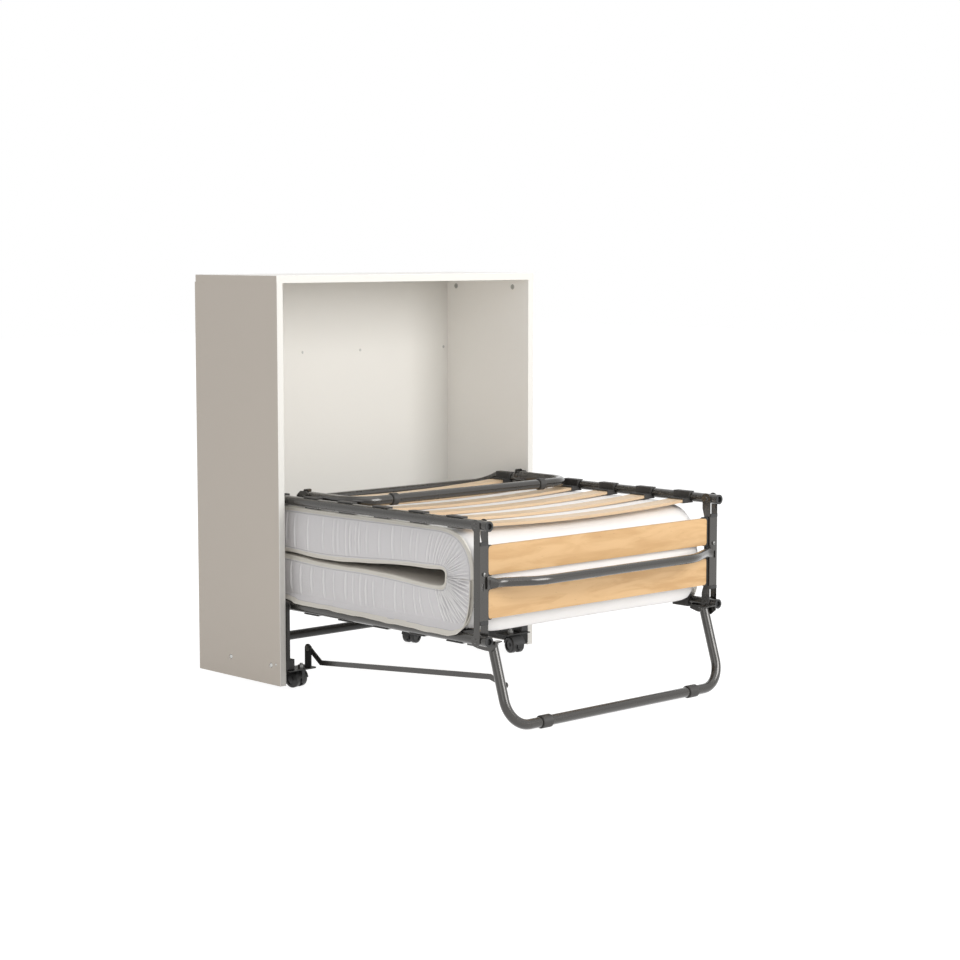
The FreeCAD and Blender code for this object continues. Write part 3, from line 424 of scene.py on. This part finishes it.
# Side profile of each half in millimetres: (ahead of the front plane, height), from the
# rear end to the middle of the fold. The upper half is given upside down.
OUTER_LOWER = ((-105, 235.7), (-46, 235.7), (100, 235.7), (258, 235.7), (400, 235.7), (500, 235.7),
               (575, 235.7), (620, 236), (646, 246), (658, 270), (665, 306), (667, 356.5))
INNER_LOWER = ((-105, 349.5), (-46, 349.5), (100, 343.8), (258, 342), (400, 338), (480, 334.5),
               (528, 333), (547, 333), (557, 336.5), (562.5, 343), (564, 350), (564, 356.5))
OUTER_UPPER = ((-105, 235.7), (-46, 235.7), (100, 235.7), (258, 235.7), (400, 235.7), (500, 236),
               (562, 237.5), (604, 246), (632, 263), (652, 288), (664, 320), (667, 356.5))
INNER_UPPER = ((-105, 356.8), (-46, 356.8), (100, 362.6), (258, 356), (400, 347), (480, 344.7),
               (528, 342.5), (548, 341.5), (558, 343), (562.5, 347), (564, 351), (564, 356.5))
FOLD_FROM = 5.5           # index in those lists where the fold starts

# The values that follow are in millimetres too, apart from shares and those said to be in metres.
REAR = 105.0              # the rear end lies this far behind the front plane
DRAWN = 26.0              # length of the rear end that is drawn in
DRAWN_DEPTH = 6.0         # how far its faces come together there
SPLIT = 560.0             # the nose of the fold lies ahead of this
NOSE_OUT = 1.25           # its middle stands this many times as far out as its sides
SLATS_END = 640.0         # the foremost slat ends here
CROWN_FADE = 40.0         # the slats' crown dies away over this length after them
INNER_CROWN = 2.5         # rise of the inner face's middle
HANG = 18.0               # the fold's drop in front of the foremost slat
HANG_AT = 667.0           # where that drop is largest
HANG_LENGTH = 12.0        # and how quickly it fades
UNEVEN = 0.35             # height of each soft wave on the inner face
# Upright gathers: how far ahead of the front plane each one stands on the left side.
GATHERS_LOWER = (-62, -21, 18, 62, 112, 152, 198, 227, 255, 277, 306, 344, 387, 421, 466, 491, 535)
GATHERS_UPPER = (-70, -38, -5, 49, 109, 152, 169, 201, 217, 239, 252, 281, 328, 378, 415, 451, 476,
                 523, 535, 553)
RIGHT_SHIFT = 17.0        # the right side repeats them this much nearer the cabinet
# Fans of wrinkles: the first one after the fold's start, the gaps between them, their heights.
FANS_LOWER = (34.0, (8.0, 12.0), (1.3, 2.1))
FANS_UPPER = (30.0, (9.0, 17.0), (0.4, 0.9))

BORDER_DEEP = 0.107       # depth of the border as its cloth is laid out, in metres
TAPE = 0.100              # share of the border under each edge tape
SEAM = TAPE + 0.02        # share of the border at which its seams run
BORDER, FACE, TAPED, INSIDE = range(4)          # order of the pad's cloths
PIPE_OUT = 0.9989         # the piping runs at this share of the half width, just inside the border
PIPE_FACES = (0.02, 0.98)                       # and at these shares of the depth
LAP_CORD = 0.0024         # radius of the piping at the end of the lapped tape, in metres

# Path of the edge tape over the lower rail: (from the middle, height), and how much of it is
# covered at places ahead of the front plane.
LAP = ((398.5, 250), (401.5, 245), (406, 240.6), (411.5, 237.0), (417.3, 233.6), (421.6, 229.3),
       (424.2, 224.3), (424.7, 219), (424.7, 213))
LAP_AHEAD = (-105, -40, 2, 16, 300, 560, 604, 632, 648, 658, 668)
LAP_SHARE = (0.36, 0.36, 0.50, 0.61, 0.69, 0.79, 0.81, 0.72, 0.54, 0.39, 0.27)
LAP_THICK = 1.1           # half the tape's thickness there
LAP_STOPS = 636.0         # ahead of this the pad shows its own tape again
LAP_EDGE = 0.0013         # the lap's end in the cloth's layout, in metres
LAP_TAPE = 0.0128         # and the end of its tape, in metres
BARE_FROM = 0.0160        # under the lap the border's layout starts past its seam, in metres


class Half:
    """One half of the folded mattress as a smooth map from a box to its shape."""

    def __init__(self, settings, upper):
        self.upper = upper
        self.settings = settings
        outer, inner = (OUTER_UPPER, INNER_UPPER) if upper else (OUTER_LOWER, INNER_LOWER)
        fine = np.linspace(0, len(outer) - 1, 4000)
        along = measured(hermite(outer, fine))
        self.rows = int(along[-1] * MM / settings.step)
        self.distance = np.linspace(0, along[-1], self.rows)
        at = np.interp(self.distance, along, fine)
        self.outer = hermite(outer, at)
        self.inner = hermite(inner, at)
        self.fold_start = np.interp(FOLD_FROM, fine, along)
        rng = random.Random(71 if upper else 29)
        self.gathers = self.draw_gathers(rng)
        self.fans = self.draw_fans(rng)
        # soft waves of the inner face: phase, turn per millimetre along and across
        self.waves = [(rng.uniform(0, 6.28), rng.uniform(0.006, 0.02), rng.uniform(-0.006, 0.006))
                      for _ in range(6)]

    def draw_gathers(self, rng):
        """Upright gathers in the border: place, width, height, start, end and lean."""
        gathers = []
        for ahead in GATHERS_UPPER if self.upper else GATHERS_LOWER:
            place = ahead + REAR
            tall = rng.uniform(0.75, 1.15)
            low, high = rng.uniform(0.10, 0.22), rng.uniform(0.78, 0.92)
            gathers.append((place, rng.uniform(1.3, 1.9), tall, low, high, rng.uniform(-6.0, 1.0)))
            if rng.random() < 0.5:
                beside = place + rng.uniform(5.0, 12.0)
                gathers.append((beside, rng.uniform(1.1, 1.6), tall * 0.35, rng.uniform(0.1, 0.4),
                                rng.uniform(0.6, 0.9), rng.uniform(-6.0, 2.0)))
        return gathers

    def draw_fans(self, rng):
        """Wrinkles that fan out from the crease: place, width, height and start."""
        first, gaps, heights = FANS_UPPER if self.upper else FANS_LOWER
        fans = []
        place = self.fold_start + first
        while place < self.distance[-1] - 2.0:
            gap, height = rng.uniform(*gaps), rng.uniform(*heights)
            fans.append((place, rng.uniform(2.2, 3.4), height, rng.uniform(0.15, 0.5)))
            place += gap
        return fans

    def relief(self, along, t):
        """Height of the gathers and wrinkles on the border; t runs from the outer tape to the inner."""
        height = np.zeros_like(along)
        for place, width, tall, low, high, lean in self.gathers:
            off = along - (place + lean * (t - 0.5))
            height += tall * ridge(off, width, 0.30, 3.4, 2.4) * step_at(t, low, 26) * step_at(t, high, -26)
        for place, width, tall, start in self.fans:
            off = (along - place + 3.0 * np.sin(t * 5.0 + place)) * (1.0 + 0.5 * t)
            rise = ridge(off, width, 0.5, 2.2, 1.2) * step_at(t, start * 0.35, 16)
            height += tall * rise * (0.65 + 0.75 * t)
        return height * ramp(t, 0.06, 0.16) * ramp(t, 0.94, 0.84) * self.settings.gather

    def rounded(self, x, t, thick):
        """x and t in metres from the section's middle, with its corners pulled on to arcs."""
        s = self.settings
        inside_x = np.clip(x, s.soft_edge - s.half_width, s.half_width - s.soft_edge)
        inside_t = np.clip(t, s.soft_edge - thick / 2, thick / 2 - s.soft_edge)
        dx, dt = x - inside_x, t - inside_t
        corner = (dx != 0) & (dt != 0)
        out = np.minimum(s.soft_edge, np.maximum(np.abs(dx), np.abs(dt)))
        pull = out / np.maximum(np.hypot(dx, dt), 1e-9)
        return np.where(corner, inside_x + dx * pull, x), np.where(corner, inside_t + dt * pull, t)

    def surface(self, row, x, t):
        """Places and gather heights; x from -1 to 1 across, t from 0 at the outer face to 1 at the inner."""
        s = self.settings
        distance, o, i = self.distance[row], self.outer[row], self.inner[row]
        reach = np.maximum(o[:, 0] - SPLIT, 0.0)
        nose = reach * (NOSE_OUT - 1.0) * (1.0 - np.abs(x) ** 20)
        thick = np.linalg.norm(o - i, axis=1) * MM
        px, pt = self.rounded(x * s.half_width, (t - 0.5) * thick, thick)
        t = pt / thick + 0.5
        middle = 1.0 - (px / s.half_width) ** 2
        # the border swells between its tapes and holds the gathers
        on_border = np.abs(x) > 0.999
        swell = s.bulge * np.sin(np.pi * np.clip(t, 0, 1)) * on_border
        shift = np.where(x > 0, RIGHT_SHIFT, 0.0) * ramp(o[:, 0], SPLIT, SPLIT - 60.0)
        gathers = np.where(on_border, self.relief(distance + shift, t), 0.0)
        px = px + np.sign(x) * (swell + gathers)
        y = (o[:, 0] + nose) * (1 - t) + i[:, 0] * t
        z = o[:, 1] * (1 - t) + i[:, 1] * t
        # the cambered slats press into the outer face, and the inner face rises in the middle
        across = unit(i - o)
        flat = 1.0 - ramp(o[:, 0] + nose, SLATS_END, SLATS_END + CROWN_FADE)
        lift = s.crown / MM * middle * (1 - t) * flat
        y = y + across[:, 0] * lift
        z = z + across[:, 1] * (lift + INNER_CROWN * middle * t * flat)
        # the fold hangs a little in front of the foremost slat
        if not self.upper:
            hang = HANG * np.exp(-((y - HANG_AT) / HANG_LENGTH) ** 2) * ramp(o[:, 1], 300.0, 270.0)
            z = z - hang * (1 - np.abs(x) ** 16) * (1 - t) ** 2
        # soft unevenness of the inner face
        waves = sum(np.sin(phase + along * distance + sideways * px / MM)
                    for phase, along, sideways in self.waves)
        z = z + np.where(t > 0.5, waves * UNEVEN, 0.0) * (1 - reach / 140.0)
        # the rear end is drawn in
        end = ramp(distance, DRAWN, 0.0)
        px = px * (1 - 0.004 * end ** 2)
        z = z + (0.5 - t) * 2 * DRAWN_DEPTH * end ** 2.5
        if self.upper:
            z = 2 * MID_Z / MM - z
        return np.stack([px, FRONT - y * MM, z * MM], 1), gathers / s.gather

    def point(self, row, x, t):
        return self.surface(row, x, t)[0]


def cloth_piece(name, spots, faces, uvs, cloths, slots):
    """A smooth mesh with its layout on the cloth; slots says which cloth each face has."""
    mesh = bpy.data.meshes.new(name)
    mesh.from_pydata(np.asarray(spots).tolist(), [], faces)
    mesh.uv_layers.new(name="cloth").data.foreach_set("uv", np.array(uvs, np.float32).ravel())
    for cloth in cloths:
        mesh.materials.append(cloth)
    mesh.polygons.foreach_set("material_index", slots)
    mesh.polygons.foreach_set("use_smooth", [True] * len(faces))
    mesh.update()
    piece = bpy.data.objects.new(name, mesh)
    bpy.context.scene.collection.objects.link(piece)
    return piece


def spaced(flat, edge, zone):
    """Positions from -1 to 1 with extra ones in the rounded zone at each end."""
    near = zone * np.linspace(0, 1, edge, endpoint=False)
    return np.concatenate([near - 1, np.linspace(zone - 1, 1 - zone, flat), (1 - near)[::-1]])


def half_mesh(half, name, cloths):
    """The surface of a box of rows, mapped to the half's shape."""
    s = half.settings
    xs = spaced(34, 5, s.soft_edge / s.half_width)
    ts = (spaced(22, 4, 2 * s.soft_edge / BORDER_DEEP) + 1) / 2
    last_row, last_x, last_t = half.rows - 1, len(xs) - 1, len(ts) - 1
    along, width, deep = half.distance * MM, xs * s.half_width, ts * BORDER_DEEP
    ids, faces, slots, uvs = {}, [], [], []

    def on_face(i, j, k):
        return along[i], width[j]

    def on_border(i, j, k):
        return along[i], deep[k]

    def under_lap(i, j, k):
        return along[i], max(deep[k], BARE_FROM)

    def on_end(i, j, k):
        return width[j], deep[k]

    def quad(corners, cloth, layout):
        """Add a face with corners at (row, place across, place deep)."""
        turn = -1 if half.upper else 1
        faces.append([ids.setdefault(corner, len(ids)) for corner in corners][::turn])
        uvs.extend([layout(*corner) for corner in corners][::turn])
        slots.append(cloth)

    for i in range(last_row):
        for j in range(last_x):
            quad([(i, j, 0), (i + 1, j, 0), (i + 1, j + 1, 0), (i, j + 1, 0)], FACE, on_face)
            quad([(i, j + 1, last_t), (i + 1, j + 1, last_t), (i + 1, j, last_t), (i, j, last_t)],
                 INSIDE, on_face)
        lapped = not half.upper and half.outer[i][0] < LAP_STOPS
        layout = under_lap if lapped else on_border
        for k in range(last_t):
            taped = ts[k] > 1 - SEAM or (ts[k + 1] < SEAM and not lapped)
            cloth = TAPED if taped else BORDER
            quad([(i, 0, k), (i, 0, k + 1), (i + 1, 0, k + 1), (i + 1, 0, k)], cloth, layout)
            quad([(i + 1, last_x, k), (i + 1, last_x, k + 1), (i, last_x, k + 1), (i, last_x, k)],
                 cloth, layout)
    for i, turn in ((0, 1), (last_row, -1)):
        for j in range(last_x):
            for k in range(last_t):
                taped = ts[k + 1] < SEAM or ts[k] > 1 - SEAM
                cloth = INSIDE if i else TAPED if taped else BORDER
                quad([(i, j, k), (i, j + 1, k), (i, j + 1, k + 1), (i, j, k + 1)][::turn], cloth, on_end)
    rows, places_across, places_deep = np.array(list(ids)).T
    spots, creases = half.surface(rows, xs[places_across], ts[places_deep])
    piece = cloth_piece(name, spots, faces, uvs, cloths, slots)
    crease = piece.data.attributes.new("crease", "FLOAT", "POINT")
    crease.data.foreach_set("value", creases.astype(np.float32))
    return piece


def tube_along(name, runs, material, sides=10):
    """Capped piping along runs of points, each with its radius."""
    spots, faces, uvs = [], [], []
    for points, radius in runs:
        ahead = np.roll(points, -1, 0) - np.roll(points, 1, 0)
        ahead[0], ahead[-1] = points[1] - points[0], points[-1] - points[-2]
        ahead = unit(ahead)
        a = np.cross(ahead, (1.0, 0.02, 0.03))
        short = np.linalg.norm(a, axis=1) < 0.2
        a[short] = np.cross(ahead[short], (0.0, 0.0, 1.0))
        a = unit(a)
        b = np.cross(ahead, a)
        turns = [math.tau * k / sides for k in range(sides)]
        rings = np.stack([points + radius * (math.cos(q) * a + math.sin(q) * b) for q in turns], 1)
        base, last, distance = len(spots), len(points) - 1, measured(points)
        spots.extend(rings.reshape(-1, 3))
        for i in range(last):
            near, far = base + i * sides, base + (i + 1) * sides
            for k in range(sides):
                following = (k + 1) % sides
                faces.append((near + k, near + following, far + following, far + k))
                low, high = (math.tau * radius * q / sides for q in (k, k + 1))
                start, end = distance[i], distance[i + 1]
                uvs.extend([(start, low), (start, high), (end, high), (end, low)])
        faces.append(tuple(range(base, base + sides))[::-1])
        faces.append(tuple(range(base + last * sides, base + (last + 1) * sides)))
        uvs.extend([(0.0, 0.0)] * (2 * sides))
    return cloth_piece(name, spots, faces, uvs, [material], [0] * len(faces))


def lap_points(half, rows, reach, out):
    """Points reach along the tape's path over the lower rail and out millimetres off it, one for each row."""
    path = np.array(LAP)
    steps = measured(path)

    def read(at):
        return np.stack([np.interp(at, steps, path[:, 0]), np.interp(at, steps, path[:, 1])], 1)

    at = reach * steps[-1]
    slope = unit(read(at + 0.5) - read(at - 0.5))
    x, z = (read(at) + out * np.stack([-slope[:, 1], slope[:, 0]], 1)).T
    ahead = unit(np.gradient(half.outer, axis=0))[rows]
    below = np.stack([ahead[:, 1], -ahead[:, 0]], 1)
    base = half.outer[rows] + below * (OUTER_LOWER[0][1] - z)[:, None]
    return np.stack([x * MM, FRONT - base[:, 0] * MM, base[:, 1] * MM], 1)


def lap_share(half, rows):
    """How much of its path the tape covers at each row; its edge sways a little."""
    distance, ahead = half.distance[rows], half.outer[rows][:, 0]
    sway = 0.016 * np.sin(distance * 0.041 + 0.8) + 0.010 * np.sin(distance * 0.093)
    return np.interp(ahead, LAP_AHEAD, LAP_SHARE) + sway * ramp(ahead, 20.0, 80.0)


def edge_lap(half, name, cloths):
    """The tape that laps over the lower rail on both sides, as closed strips."""
    rows = np.arange(0, half.rows, 3)
    reach, along = lap_share(half, rows), half.distance[rows] * MM
    across = np.linspace(0, 1, 15)
    from_end = np.concatenate([1 - across, (1 - across)[::-1]])
    whole = measured(LAP)[-1] * MM
    spots, faces, uvs, slots = [], [], [], []
    for sign in (-1, 1):
        ring = [lap_points(half, rows, reach * c, LAP_THICK) for c in across]
        ring += [lap_points(half, rows, reach * c, -LAP_THICK) for c in across[::-1]]
        ring = np.stack(ring, 1)
        ring[:, :, 0] *= sign
        base, last, around = len(spots), len(rows) - 1, len(from_end)
        spots.extend(ring.reshape(-1, 3))
        for i in range(last):
            near, far = base + i * around, base + (i + 1) * around
            for k in range(around):
                following = (k + 1) % around
                low, high = (from_end[q] * reach[i] * whole + LAP_EDGE for q in (k, following))
                slots.append(int((low + high) / 2 < LAP_TAPE))
                faces.append([near + k, near + following, far + following, far + k][::-sign])
                start, end = along[i], along[i + 1]
                uvs.extend([(start, low), (start, high), (end, high), (end, low)][::-sign])
        for i, turn in ((0, sign), (last, -sign)):
            faces.append(list(range(base + i * around, base + (i + 1) * around))[::turn])
            uvs.extend([(0.0, 0.0)] * around)
            slots.append(1)
    piece = cloth_piece(name, spots, faces, uvs, cloths, slots)
    shell = bmesh.new()
    shell.from_mesh(piece.data)
    bmesh.ops.recalc_face_normals(shell, faces=shell.faces)
    shell.to_mesh(piece.data)
    shell.free()
    return piece


def piping(half, name, material):
    """The cord along the four long edges and round the rear end of one half."""
    rows = np.unique(np.append(np.arange(0, half.rows, 5), half.rows - 1))
    across = np.linspace(-0.985, 0.985, 80)
    runs = []
    for face in PIPE_FACES:
        lapped = face < 0.5 and not half.upper
        sides = [half.point(rows, sign * PIPE_OUT, face) for sign in (-1, 1)]
        if lapped:
            lifted = ramp(half.outer[rows][:, 0], SLATS_END, SLATS_END + 24.0)[:, None]
            rolled = lap_points(half, rows, lap_share(half, rows), 0.8)
            sides = [rolled * (sign, 1, 1) * (1 - lifted) + points * lifted
                     for sign, points in zip((-1, 1), sides)]
        rear = half.point(np.zeros(len(across), int), across, face)
        cord = np.concatenate([sides[0][::-1], rear, sides[1]])
        if not lapped:
            place = np.arange(len(cord))
            cord[:, 2] += np.sin(place * 0.37) * 0.0004 + np.sin(place * 0.113 + 1.7) * 0.0006
        runs.append((cord, LAP_CORD if lapped else half.settings.cord))
    return tube_along(name, runs, material)


# ---------------------------------------------------------------- operators

class Step(bpy.types.Operator):
    """Shared by every step of the dressing."""

    bl_options = {"REGISTER", "UNDO"}


class BED_OT_boards(Step):
    """Foil on the cabinet's boards, lacquer on the birch"""

    bl_idname = "cabinet_bed.boards"
    bl_label = "Boards and Slats"

    def execute(self, context):
        s = context.scene.bed_boards
        dress(("side_panel_left", "side_panel_right", "back_panel"), foil_board("white_foil_upright", s, "Z"))
        dress(("top_panel",), foil_board("white_foil_level", s, "X"))
        dress(("lower_slats", "upper_slats"), birch("birch_slats", s, 1, 0.38))
        dress(("link_board_lower", "link_board_upper"), birch("birch_boards", s, 2))
        return {"FINISHED"}


class BED_OT_steel(Step):
    """Powder coat and plating on the metal pieces"""

    bl_idname = "cabinet_bed.steel"
    bl_label = "Steel"

    def execute(self, context):
        s = context.scene.bed_steel
        dress(("lower_frame", "upper_frame", "lower_leg_tube", "upper_leg_tube", "lower_leg_brackets",
               "upper_leg_brackets", "stay_bar", "link_channel_left", "link_channel_right", "bow_bar",
               "hinge_rivets", "lower_leg_pins", "upper_leg_pins", "stay_leg_rivet"),
              powder_coat("gunmetal_coat", s.tube, 0.55, 0.22, 0.85))
        dress(("side_plate_left", "side_plate_right", "foot_rail_left", "foot_rail_right", "rear_cross_tube",
               "caster_plate_left", "caster_plate_right", "pivot_post_left", "pivot_post_right"),
              powder_coat("black_coat", s.base, 0.35, 0.38, 0.10))
        dress(("back_panel_screws", "cam_fittings", "panel_bolts"), plated("bright_plating", s.zinc))
        dress(("stem_nuts", "caster_stems", "bed_pivot_pins", "stay_anchor_pin"),
              plated("dull_plating", tuple(c * 0.55 for c in s.zinc)))
        return {"FINISHED"}


class BED_OT_plastic(Step):
    """Moulded plastic pieces and casters"""

    bl_idname = "cabinet_bed.plastic"
    bl_label = "Plastic"

    def execute(self, context):
        s = context.scene.bed_steel
        dress(["foot_rail_end_caps", "lower_rail_caps", "upper_rail_caps", "web_edge_trims", "board_holders"]
              + ["caster_hood_" + c for c in CASTERS], moulded("black_moulding", s.plastic, 0.46))
        dress(("lower_slat_holders", "upper_slat_holders", "lower_leg_sleeves", "upper_leg_sleeves"),
              moulded("dark_moulding", s.holder, 0.5))
        dress(["caster_wheels_" + c for c in CASTERS], moulded("wheel_moulding", s.plastic, 0.3, 2200.0))
        return {"FINISHED"}


def bolt_heads(name, places, radius, height, material):
    """Round-headed bolts that point ahead, one at each place on the surface they clamp."""
    heads = []
    for place in places:
        bpy.ops.object.select_all(action="DESELECT")
        bpy.ops.mesh.primitive_cylinder_add(
            vertices=24, radius=radius, depth=height, rotation=(math.pi / 2, 0, 0),
            location=(place[0], place[1] - height / 2, place[2]))
        head = bpy.context.object
        bpy.ops.object.transform_apply(location=True, rotation=True, scale=True)
        bpy.ops.object.mode_set(mode="EDIT")
        bpy.ops.mesh.select_mode(type="FACE")
        bpy.ops.mesh.select_all(action="DESELECT")
        shell = bmesh.from_edit_mesh(head.data)
        for face in shell.faces:
            face.select = face.normal.y < -0.9
        bmesh.update_edit_mesh(head.data)
        bpy.ops.mesh.inset(thickness=radius * 0.22, depth=height * 0.30)
        bpy.ops.mesh.inset(thickness=radius * 0.26, depth=height * 0.10)
        bpy.ops.mesh.inset(thickness=radius * 0.06, depth=-height * 0.45)
        bpy.ops.object.mode_set(mode="OBJECT")
        heads.append(head)
    bpy.ops.object.select_all(action="DESELECT")
    for head in heads:
        head.select_set(True)
    bpy.context.view_layer.objects.active = heads[0]
    bpy.ops.object.join()
    bpy.ops.object.shade_smooth_by_angle(angle=math.radians(35))
    heads[0].name = name
    heads[0].data.materials.append(material)
    return heads[0]


BOLT_OUT = 0.410          # from the middle, in metres like the rest
BOLT_UP = 0.0215          # above the middle between the bed's sections
BOLT_RADIUS = 0.0048
BOLT_HEIGHT = 0.0030


class BED_OT_bolts(Step):
    """Bolts through the link channels that hold the bow bar"""

    bl_idname = "cabinet_bed.bolts"
    bl_label = "Bow Bar Bolts"

    def execute(self, context):
        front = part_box("link_channel_left")[0].y
        places = [(side * BOLT_OUT, front, MID_Z + BOLT_UP) for side in (-1, 1)]
        plating = plated("bolt_plating", tuple(c * 0.45 for c in context.scene.bed_steel.zinc))
        bolts = bolt_heads("bow_bar_bolts", places, BOLT_RADIUS, BOLT_HEIGHT, plating)
        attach(bolts, "middle_link")
        return {"FINISHED"}


class BED_OT_mattress(Step):
    """The folded mattress in two halves that meet in the middle of the fold"""

    bl_idname = "cabinet_bed.mattress"
    bl_label = "Mattress"

    def execute(self, context):
        s = context.scene.bed_mattress
        seams = (BORDER_DEEP * SEAM, BORDER_DEEP * (1 - SEAM))
        border = woven("border_cloth", s.border, 0.0011, 0.00012, 0.25, seams)
        face = woven("face_cloth", s.face, 0.0014, 0.00015)
        # painted shade: the darker cloth on the inner faces stands in for the shade in the fold's gap
        inside = woven("sleeping_cloth", s.inside, 0.0014, 0.00015)
        tape = woven("edge_tape", s.tape, 0.0016, 0.0003, 0.15)
        for upper in (False, True):
            part = "upper" if upper else "lower"
            half = Half(s, upper)
            pad = half_mesh(half, "mattress_pad_" + part, (border, face, tape, inside))
            cord = piping(half, "mattress_piping_" + part, tape)
            lap = [] if upper else [edge_lap(half, "mattress_edge_lap", (border, tape))]
            # each piece's placement is baked into its mesh
            for piece in [pad, cord] + lap:
                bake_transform(piece)
            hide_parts("mattress_" + part)
            if not upper:
                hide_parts("mattress_fold")
        return {"FINISHED"}


# The camera was solved from the cabinet's edges in the photograph.
CAMERA = (-3.9612, FRONT - 4.4692, 1.1419)
LOOKS_DOWN = 5.973        # degrees below level
LOOKS_RIGHT = 43.30       # degrees right of straight ahead
LENS = 83.48              # millimetres, for a sensor 36 mm wide
LAMPS = {"key": ((1.1, -4.2, 2.3), 2.6),        # place and size of each lamp
         "top": ((0.2, -1.0, 3.4), 3.0),
         "fill": ((-3.6, -2.2, 1.4), 2.4)}
LAMPS_AIM = Vector((0, 0, 0.45))


class BED_OT_stage(Step):
    """Pale floor, soft light and the camera"""

    bl_idname = "cabinet_bed.stage"
    bl_label = "Studio"

    def execute(self, context):
        s = context.scene.bed_stage
        self.floor(s)
        self.sky(context, s)
        self.lamps(context, s)
        self.camera(context)
        context.scene.view_settings.view_transform = "Standard"
        return {"FINISHED"}

    def floor(self, s):
        bpy.ops.object.select_all(action="DESELECT")
        bpy.ops.mesh.primitive_plane_add(size=40.0, location=(0, 0, 0))
        floor = bpy.context.object
        floor.name = "floor"
        bpy.ops.object.transform_apply(location=True, rotation=True, scale=True)
        g = new_material("pale_floor")
        tone = g.mix(g.noise(g.place(), 1.5, 3.0) * 0.2, (0.80, 0.80, 0.80), (0.76, 0.76, 0.76))
        lit = g.node("ShaderNodeBsdfDiffuse", None, {"Color": tone})
        soft = g.node("ShaderNodeBsdfDiffuse", None, {"Color": (0.30, 0.30, 0.30)})
        glow = g.node("ShaderNodeEmission", None, {"Color": (1.0, 1.0, 1.0), "Strength": s.glow})
        bright = g.node("ShaderNodeAddShader", None, {0: soft, 1: glow})
        g.output(g.node("ShaderNodeMixShader", None, {0: g.seen(), 1: lit, 2: bright}))
        floor.data.materials.append(g.owner)

    def sky(self, context, s):
        world = bpy.data.worlds.new("studio")
        context.scene.world = world
        g = Graph(world)
        even = g.node("ShaderNodeBackground", None, {"Color": (1.0, 0.99, 0.98), "Strength": s.sky})
        white = g.node("ShaderNodeBackground", None, {"Color": (1.0, 1.0, 1.0), "Strength": 1.0})
        g.output(g.node("ShaderNodeMixShader", None, {0: g.seen(), 1: even, 2: white}))

    def lamps(self, context, s):
        for kind, (spot, size) in LAMPS.items():
            lamp = bpy.data.lights.new(kind + "_light", "AREA")
            lamp.size, lamp.energy = size, getattr(s, kind)
            piece = bpy.data.objects.new(kind + "_light", lamp)
            piece.location = spot
            piece.rotation_euler = (LAMPS_AIM - Vector(spot)).to_track_quat("-Z", "Y").to_euler()
            context.scene.collection.objects.link(piece)

    def camera(self, context):
        lens = bpy.data.cameras.new("camera")
        lens.lens, lens.sensor_width, lens.clip_end = LENS, 36.0, 60.0
        camera = bpy.data.objects.new("camera", lens)
        camera.location = CAMERA
        camera.rotation_euler = (math.radians(90 - LOOKS_DOWN), 0.0, math.radians(-LOOKS_RIGHT))
        context.scene.collection.objects.link(camera)
        context.scene.camera = camera


class BED_PT_panel(bpy.types.Panel):
    """Lists the steps of the dressing"""

    bl_idname = "BED_PT_panel"
    bl_label = "Cabinet Bed"
    bl_space_type = "VIEW_3D"
    bl_region_type = "UI"
    bl_category = "Cabinet Bed"

    def draw(self, context):
        for step in STEPS:
            self.layout.operator(step.bl_idname)


STEPS = (BED_OT_boards, BED_OT_steel, BED_OT_plastic, BED_OT_bolts, BED_OT_mattress, BED_OT_stage)
GROUPS = {"bed_boards": BoardSettings, "bed_steel": SteelSettings, "bed_mattress": MattressSettings,
          "bed_stage": StageSettings}


def register():
    for kind in (*GROUPS.values(), *STEPS, BED_PT_panel):
        bpy.utils.register_class(kind)
    for name, kind in GROUPS.items():
        setattr(bpy.types.Scene, name, bpy.props.PointerProperty(type=kind))


def unregister():
    for name in GROUPS:
        delattr(bpy.types.Scene, name)
    for kind in (BED_PT_panel, *reversed(STEPS), *reversed(list(GROUPS.values()))):
        bpy.utils.unregister_class(kind)


def main():
    register()
    for step in STEPS:
        area, name = step.bl_idname.split(".")
        getattr(getattr(bpy.ops, area), name)()


if __name__ == "__main__":
    main()
